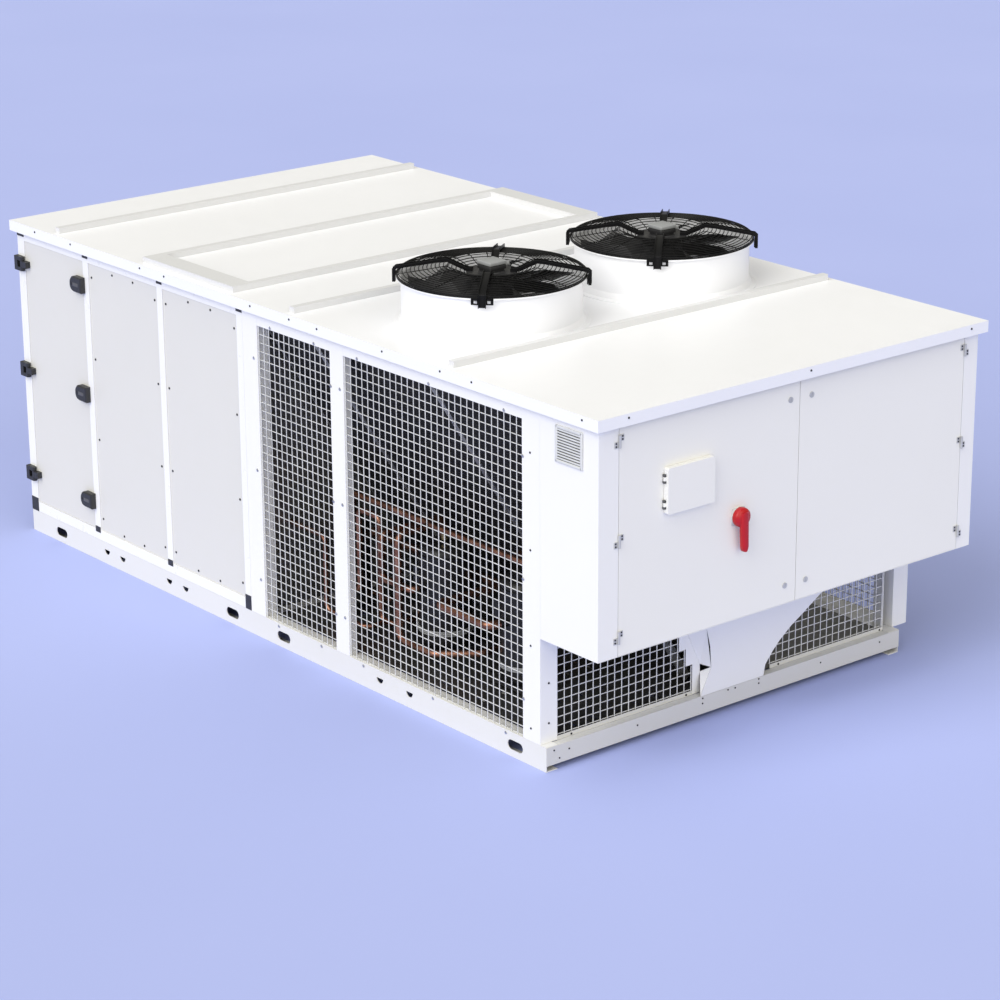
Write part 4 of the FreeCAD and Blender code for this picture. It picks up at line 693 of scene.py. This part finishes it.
def build_hinge_screws():
    """Two dark screws on every hinge leaf."""
    for node, body, side in (("door_hinges_left", "cabinet_leaf_left", 1),
                             ("door_hinges_right", "cabinet_leaf_right", -1)):
        moving, fixed = bmesh.new(), bmesh.new()
        for low, high in islands(node):
            pin_x = low.x + 0.006 if side > 0 else high.x - 0.006
            face_y = high.y - 0.003
            for across, bm in ((side, moving), (-side, fixed)):
                for dz in ((0.007, 0.020) if bm is moving else (-0.020, -0.007)):
                    at = facing(Vector((pin_x + across * 0.017, face_y, low.z + dz)), Vector((0, -1, 0)))
                    lathe(bm, screw_profile(0.0042, 0.0022), at, 12)
        finish_piece(node + "_screws", moving, SCREW_DARK, body)
        finish_piece(node + "_frame_screws", fixed, SCREW_DARK)


# ------------------------------------------------------------------ cabinet details
def build_handle():
    """Pistol grip: round head and a tapering lever, and the shaft behind them."""
    low, high = lo_hi("switch_handle")
    r, inset, reach = 0.0425, 0.043, 0.0424
    sides, squareness = 16, 0.7
    cx = low.x + inset
    cz = high.z - inset
    front, back = low.y, low.y + reach
    bm = bmesh.new()
    at = facing(Vector((cx, back, cz)), Vector((0, -1, 0)))
    depth = back - front
    lathe(bm, [(0, 0), (r * 0.97, 0), (r, 0.002), (r, depth * 0.42), (r * 0.93, depth * 0.60),
               (r * 0.70, depth * 0.74), (r * 0.35, depth * 0.82), (0, depth * 0.83)], at, 48)
    rows = []
    # along the lever: (height from the axis, sideways shift, half width, share of the depth)
    stations = ((0.026, 0.000, 0.017, 0.30), (0.000, 0.000, 0.021, 0.36), (-0.030, 0.001, 0.021, 0.40),
                (-0.060, 0.003, 0.0195, 0.46), (-0.095, 0.005, 0.0180, 0.50), (-0.125, 0.007, 0.0168, 0.52),
                (-0.142, 0.008, 0.0140, 0.54), (-0.1475, 0.008, 0.0090, 0.60))
    for dz, dx, half, thick in stations:
        y_far = front + depth * (0.02 if dz > -0.14 else 0.1)
        y_near = front + depth * (thick + 0.25)
        row = []
        for k in range(sides):
            a = 2 * pi * k / sides
            squash_x = abs(cos(a)) ** squareness * (1 if cos(a) >= 0 else -1)
            squash_y = abs(sin(a)) ** squareness * (1 if sin(a) >= 0 else -1)
            y = (y_far + y_near) / 2 - squash_y * (y_near - y_far) / 2
            row.append(bm.verts.new(Vector((cx + dx + half * squash_x, y, cz + dz))))
        rows.append(row)
    skin(bm, rows)
    bm.faces.new(rows[0])
    bm.faces.new(list(reversed(rows[-1])))
    finish_piece("isolator_grip", bm, RED, "isolator", replaces=("switch_handle",), smooth=50)
    shaft = bmesh.new()
    rod(shaft, Vector((cx, back, cz)), Vector((cx, high.y, cz)), 0.0088, 16)
    finish_piece("isolator_shaft", shaft, STEEL, "isolator", replaces=("switch_handle",))


def build_display():
    """Screen behind the hinged cover, and the rivets of the cover's hinge feet."""
    low, high = lo_hi("display_panel")
    glass = bmesh.new()
    soft_box(glass, (low.x + 0.070, low.y + 0.0003, low.z + 0.056),
             (high.x - 0.026, low.y + 0.0045, high.z - 0.018), 0.001)
    finish_piece("display_glass", glass, SCREEN, "cabinet_leaf_left")
    cover_low = lo_hi("display_cover")[0]
    buttons = bmesh.new()
    for z in (1.190, 1.300):
        at = facing(Vector((cover_low.x + 0.019, cover_low.y + 0.0012, z)), Vector((0, -1, 0)))
        lathe(buttons, screw_profile(0.007, 0.0011), at, 16)
    finish_piece("cover_rivets", buttons, ZINC, "cover")


def build_switchgear_faces():
    """Light front covers and toggles on the devices of the cabinet."""
    covers, toggles = bmesh.new(), bmesh.new()
    device = 0.060                   # a device is at most this wide and at least this tall
    for low, high in islands("switchgear"):
        if high.x - low.x > device or high.z - low.z < device:
            continue
        mid_z = (low.z + high.z) / 2
        soft_box(covers, (low.x + 0.004, low.y - 0.0012, mid_z - 0.016),
                 (high.x - 0.004, low.y + 0.002, mid_z + 0.016), 0.0008, 1)
        soft_box(toggles, (low.x + 0.018, low.y - 0.009, mid_z - 0.006),
                 (high.x - 0.018, low.y - 0.001, mid_z + 0.006), 0.0015, 1)
    finish_piece("device_fronts", covers, LIGHT_PLASTIC)
    finish_piece("device_toggles", toggles, BLACK_PLASTIC)


def build_vents():
    """Louvred filter grilles: rounded frame, separate slats and the filter mat behind them, coloured dark
    grey as painted shade between the slats.
    """
    frames, shade_mats = bmesh.new(), bmesh.new()
    rim, count = 0.013, 11
    for low, high in islands("cabinet_vents"):
        sign = 1 if low.x > 0 else -1
        back, front = (low.x, high.x) if sign > 0 else (high.x, low.x)

        def bar(bm, y0, y1, z0, z1, depth0, depth1, r):
            a, b = back + sign * depth0, back + sign * depth1
            soft_box(bm, (min(a, b), y0, z0), (max(a, b), y1, z1), r)

        thick = abs(front - back)
        bar(frames, low.y, low.y + rim, low.z, high.z, 0, thick, 0.003)
        bar(frames, high.y - rim, high.y, low.z, high.z, 0, thick, 0.003)
        bar(frames, low.y + 0.004, high.y - 0.004, low.z, low.z + rim, 0, thick, 0.003)
        bar(frames, low.y + 0.004, high.y - 0.004, high.z - rim, high.z, 0, thick, 0.003)
        pitch = (high.z - low.z - 2 * rim) / count
        for i in range(count):
            z = low.z + rim + pitch * (i + 0.30)
            bar(frames, low.y + 0.012, high.y - 0.012, z, z + pitch * 0.55, 0.002, thick - 0.001, 0.0008)
        # The mat is dark grey: painted shade seen between the slats.
        bar(shade_mats, low.y + 0.010, high.y - 0.010, low.z + 0.010, high.z - 0.010, 0.0, 0.0012, 0.0002)
    finish_piece("vent_grilles", frames, LIGHT_PLASTIC, replaces=("cabinet_vents",))
    finish_piece("vent_filter_mats_painted_shade", shade_mats, DARK_GREY, replaces=("cabinet_vents",))


# ------------------------------------------------------------------ access door details
def build_latch_faces():
    """Raised thumb grip and key barrel on each black latch."""
    for name in ("lower", "middle", "upper"):
        low, high = lo_hi("latch_" + name)
        mid = (low + high) / 2
        bm = bmesh.new()
        soft_box(bm, (low.x - 0.0005, low.y + 0.018, mid.z - 0.010),
                 (low.x + 0.010, high.y - 0.030, mid.z + 0.010), 0.003)
        finish_piece("latch_grip_" + name, bm, DARK_GREY, "grip_" + name)
        barrel = bmesh.new()
        at = facing(Vector((low.x + 0.002, high.y - 0.020, mid.z)), Vector((-1, 0, 0)))
        lathe(barrel, [(0, 0), (0.009, 0), (0.009, 0.002), (0.0075, 0.003), (0.002, 0.003), (0.002, 0.001),
                       (0, 0.001)], at, 20)
        finish_piece("latch_barrel_" + name, barrel, SCREW_DARK, "grip_" + name)


# ------------------------------------------------------------------ machinery details
def build_compressor_details():
    """Girth welds, sump heater bands and a brazed socket on each compressor."""
    welds, bands, sockets = bmesh.new(), bmesh.new(), bmesh.new()
    for low, high in islands("compressor_shells"):
        centre = (SHELL_X, low.y + SHELL_R)
        for z in (low.z + 0.040, high.z - 0.075):
            hoop(welds, centre, SHELL_R + 0.0005, z, 0.003, 64)
        for z in (low.z + 0.075, low.z + 0.083, low.z + 0.091):
            hoop(bands, centre, SHELL_R + 0.0035, z, 0.0042, 64)
        top = Matrix.Translation((centre[0], centre[1], high.z))
        lathe(sockets, [(0.0145, -0.020), (0.0175, -0.020), (0.0175, 0.004), (0.0145, 0.006),
                        (0.0145, -0.020)], top, 24)
    finish_piece("compressor_welds", welds, BLACK_STEEL)
    finish_piece("sump_heaters", bands, GREY_PLASTIC)
    finish_piece("pipe_sockets", sockets, BRASS)


# ------------------------------------------------------------------ stage
def build_stage():
    """Flat floor just under the unit, wide enough to fill the picture."""
    bm = bmesh.new()
    half, under = 300.0, -0.0005
    corners = ((-half, -half), (half, -half), (half, half), (-half, half))
    bm.faces.new([bm.verts.new((x, y, under)) for x, y in corners])
    mesh = bpy.data.meshes.new("studio_floor")
    bm.to_mesh(mesh)
    bm.free()
    floor = bpy.data.objects.new("studio_floor", mesh)
    bpy.context.scene.collection.objects.link(floor)
    mat, tree, bsdf = start("studio floor")
    tone = ramp(tree, noise(tree, 0.4, 2.0), [(0.3, (0.406, 0.463, 0.800)), (0.7, (0.420, 0.477, 0.815))])
    link(tree, tone, bsdf.inputs["Base Color"])
    bsdf.inputs["Roughness"].default_value = 0.9
    bsdf.inputs["Specular IOR Level"].default_value = 0.1
    mesh.materials.append(mat)


def sun(name, towards, strength, spread, colour):
    """Soft distant light. towards points from the object to the light."""
    data = bpy.data.lights.new(name, "SUN")
    data.energy = strength
    data.color = colour
    data.angle = radians(spread)
    obj = bpy.data.objects.new(name, data)
    obj.rotation_mode = "QUATERNION"
    obj.rotation_quaternion = Vector(towards).to_track_quat("Z", "Y")
    bpy.context.scene.collection.objects.link(obj)


def build_lights():
    """Key from the left, a warm fill from the front, a weak top light and a dim sky."""
    sun("key", (-0.85, -0.12, 0.60), 2.35, 50, (1.0, 0.99, 0.95))
    sun("front fill", (-0.12, -0.90, 0.38), 1.15, 60, (1.0, 0.965, 0.87))
    sun("top", (-0.2, -0.1, 1.0), 0.64, 40, (1.0, 1.0, 1.0))
    world = bpy.data.worlds.new("studio")
    world.use_nodes = True
    background = world.node_tree.nodes["Background"]
    background.inputs["Color"].default_value = (1.0, 0.975, 0.88, 1.0)
    background.inputs["Strength"].default_value = 0.40
    bpy.context.scene.world = world
    bpy.context.scene.view_settings.view_transform = "Standard"


CAMERA_AT = Vector((-8.7954, -10.9052, 5.2431))
CAMERA_AZIMUTH = radians(-39.439)
CAMERA_ELEVATION = radians(18.767)
CAMERA_ROLL = radians(-0.3777)
CAMERA_LENS = 111.71             # millimetres, on the sensor below
CAMERA_SENSOR = 36.0
CAMERA_REACH = 1000.0


def build_camera():
    """Camera of the main view, solved beforehand."""
    a, e, roll = CAMERA_AZIMUTH, CAMERA_ELEVATION, CAMERA_ROLL
    ahead = Vector((-sin(a) * cos(e), cos(a) * cos(e), -sin(e)))
    right = ahead.cross(Vector((0, 0, 1))).normalized()
    up = right.cross(ahead)
    right, up = right * cos(roll) + up * sin(roll), up * cos(roll) - right * sin(roll)
    data = bpy.data.cameras.new("camera")
    data.lens = CAMERA_LENS
    data.sensor_width = CAMERA_SENSOR
    data.clip_end = CAMERA_REACH
    obj = bpy.data.objects.new("camera", data)
    matrix = Matrix((right, up, -ahead)).transposed().to_4x4()
    matrix.translation = CAMERA_AT
    obj.matrix_world = matrix
    bpy.context.scene.collection.objects.link(obj)
    bpy.context.scene.camera = obj


paint_nodes()
build_side_meshes()
build_front_mesh()
build_guards()
build_arms()
build_motors()
build_panel_screws()
build_mesh_clips()
build_hinge_screws()
build_handle()
build_display()
build_switchgear_faces()
build_vents()
build_latch_faces()
build_compressor_details()
build_stage()
build_lights()
build_camera()
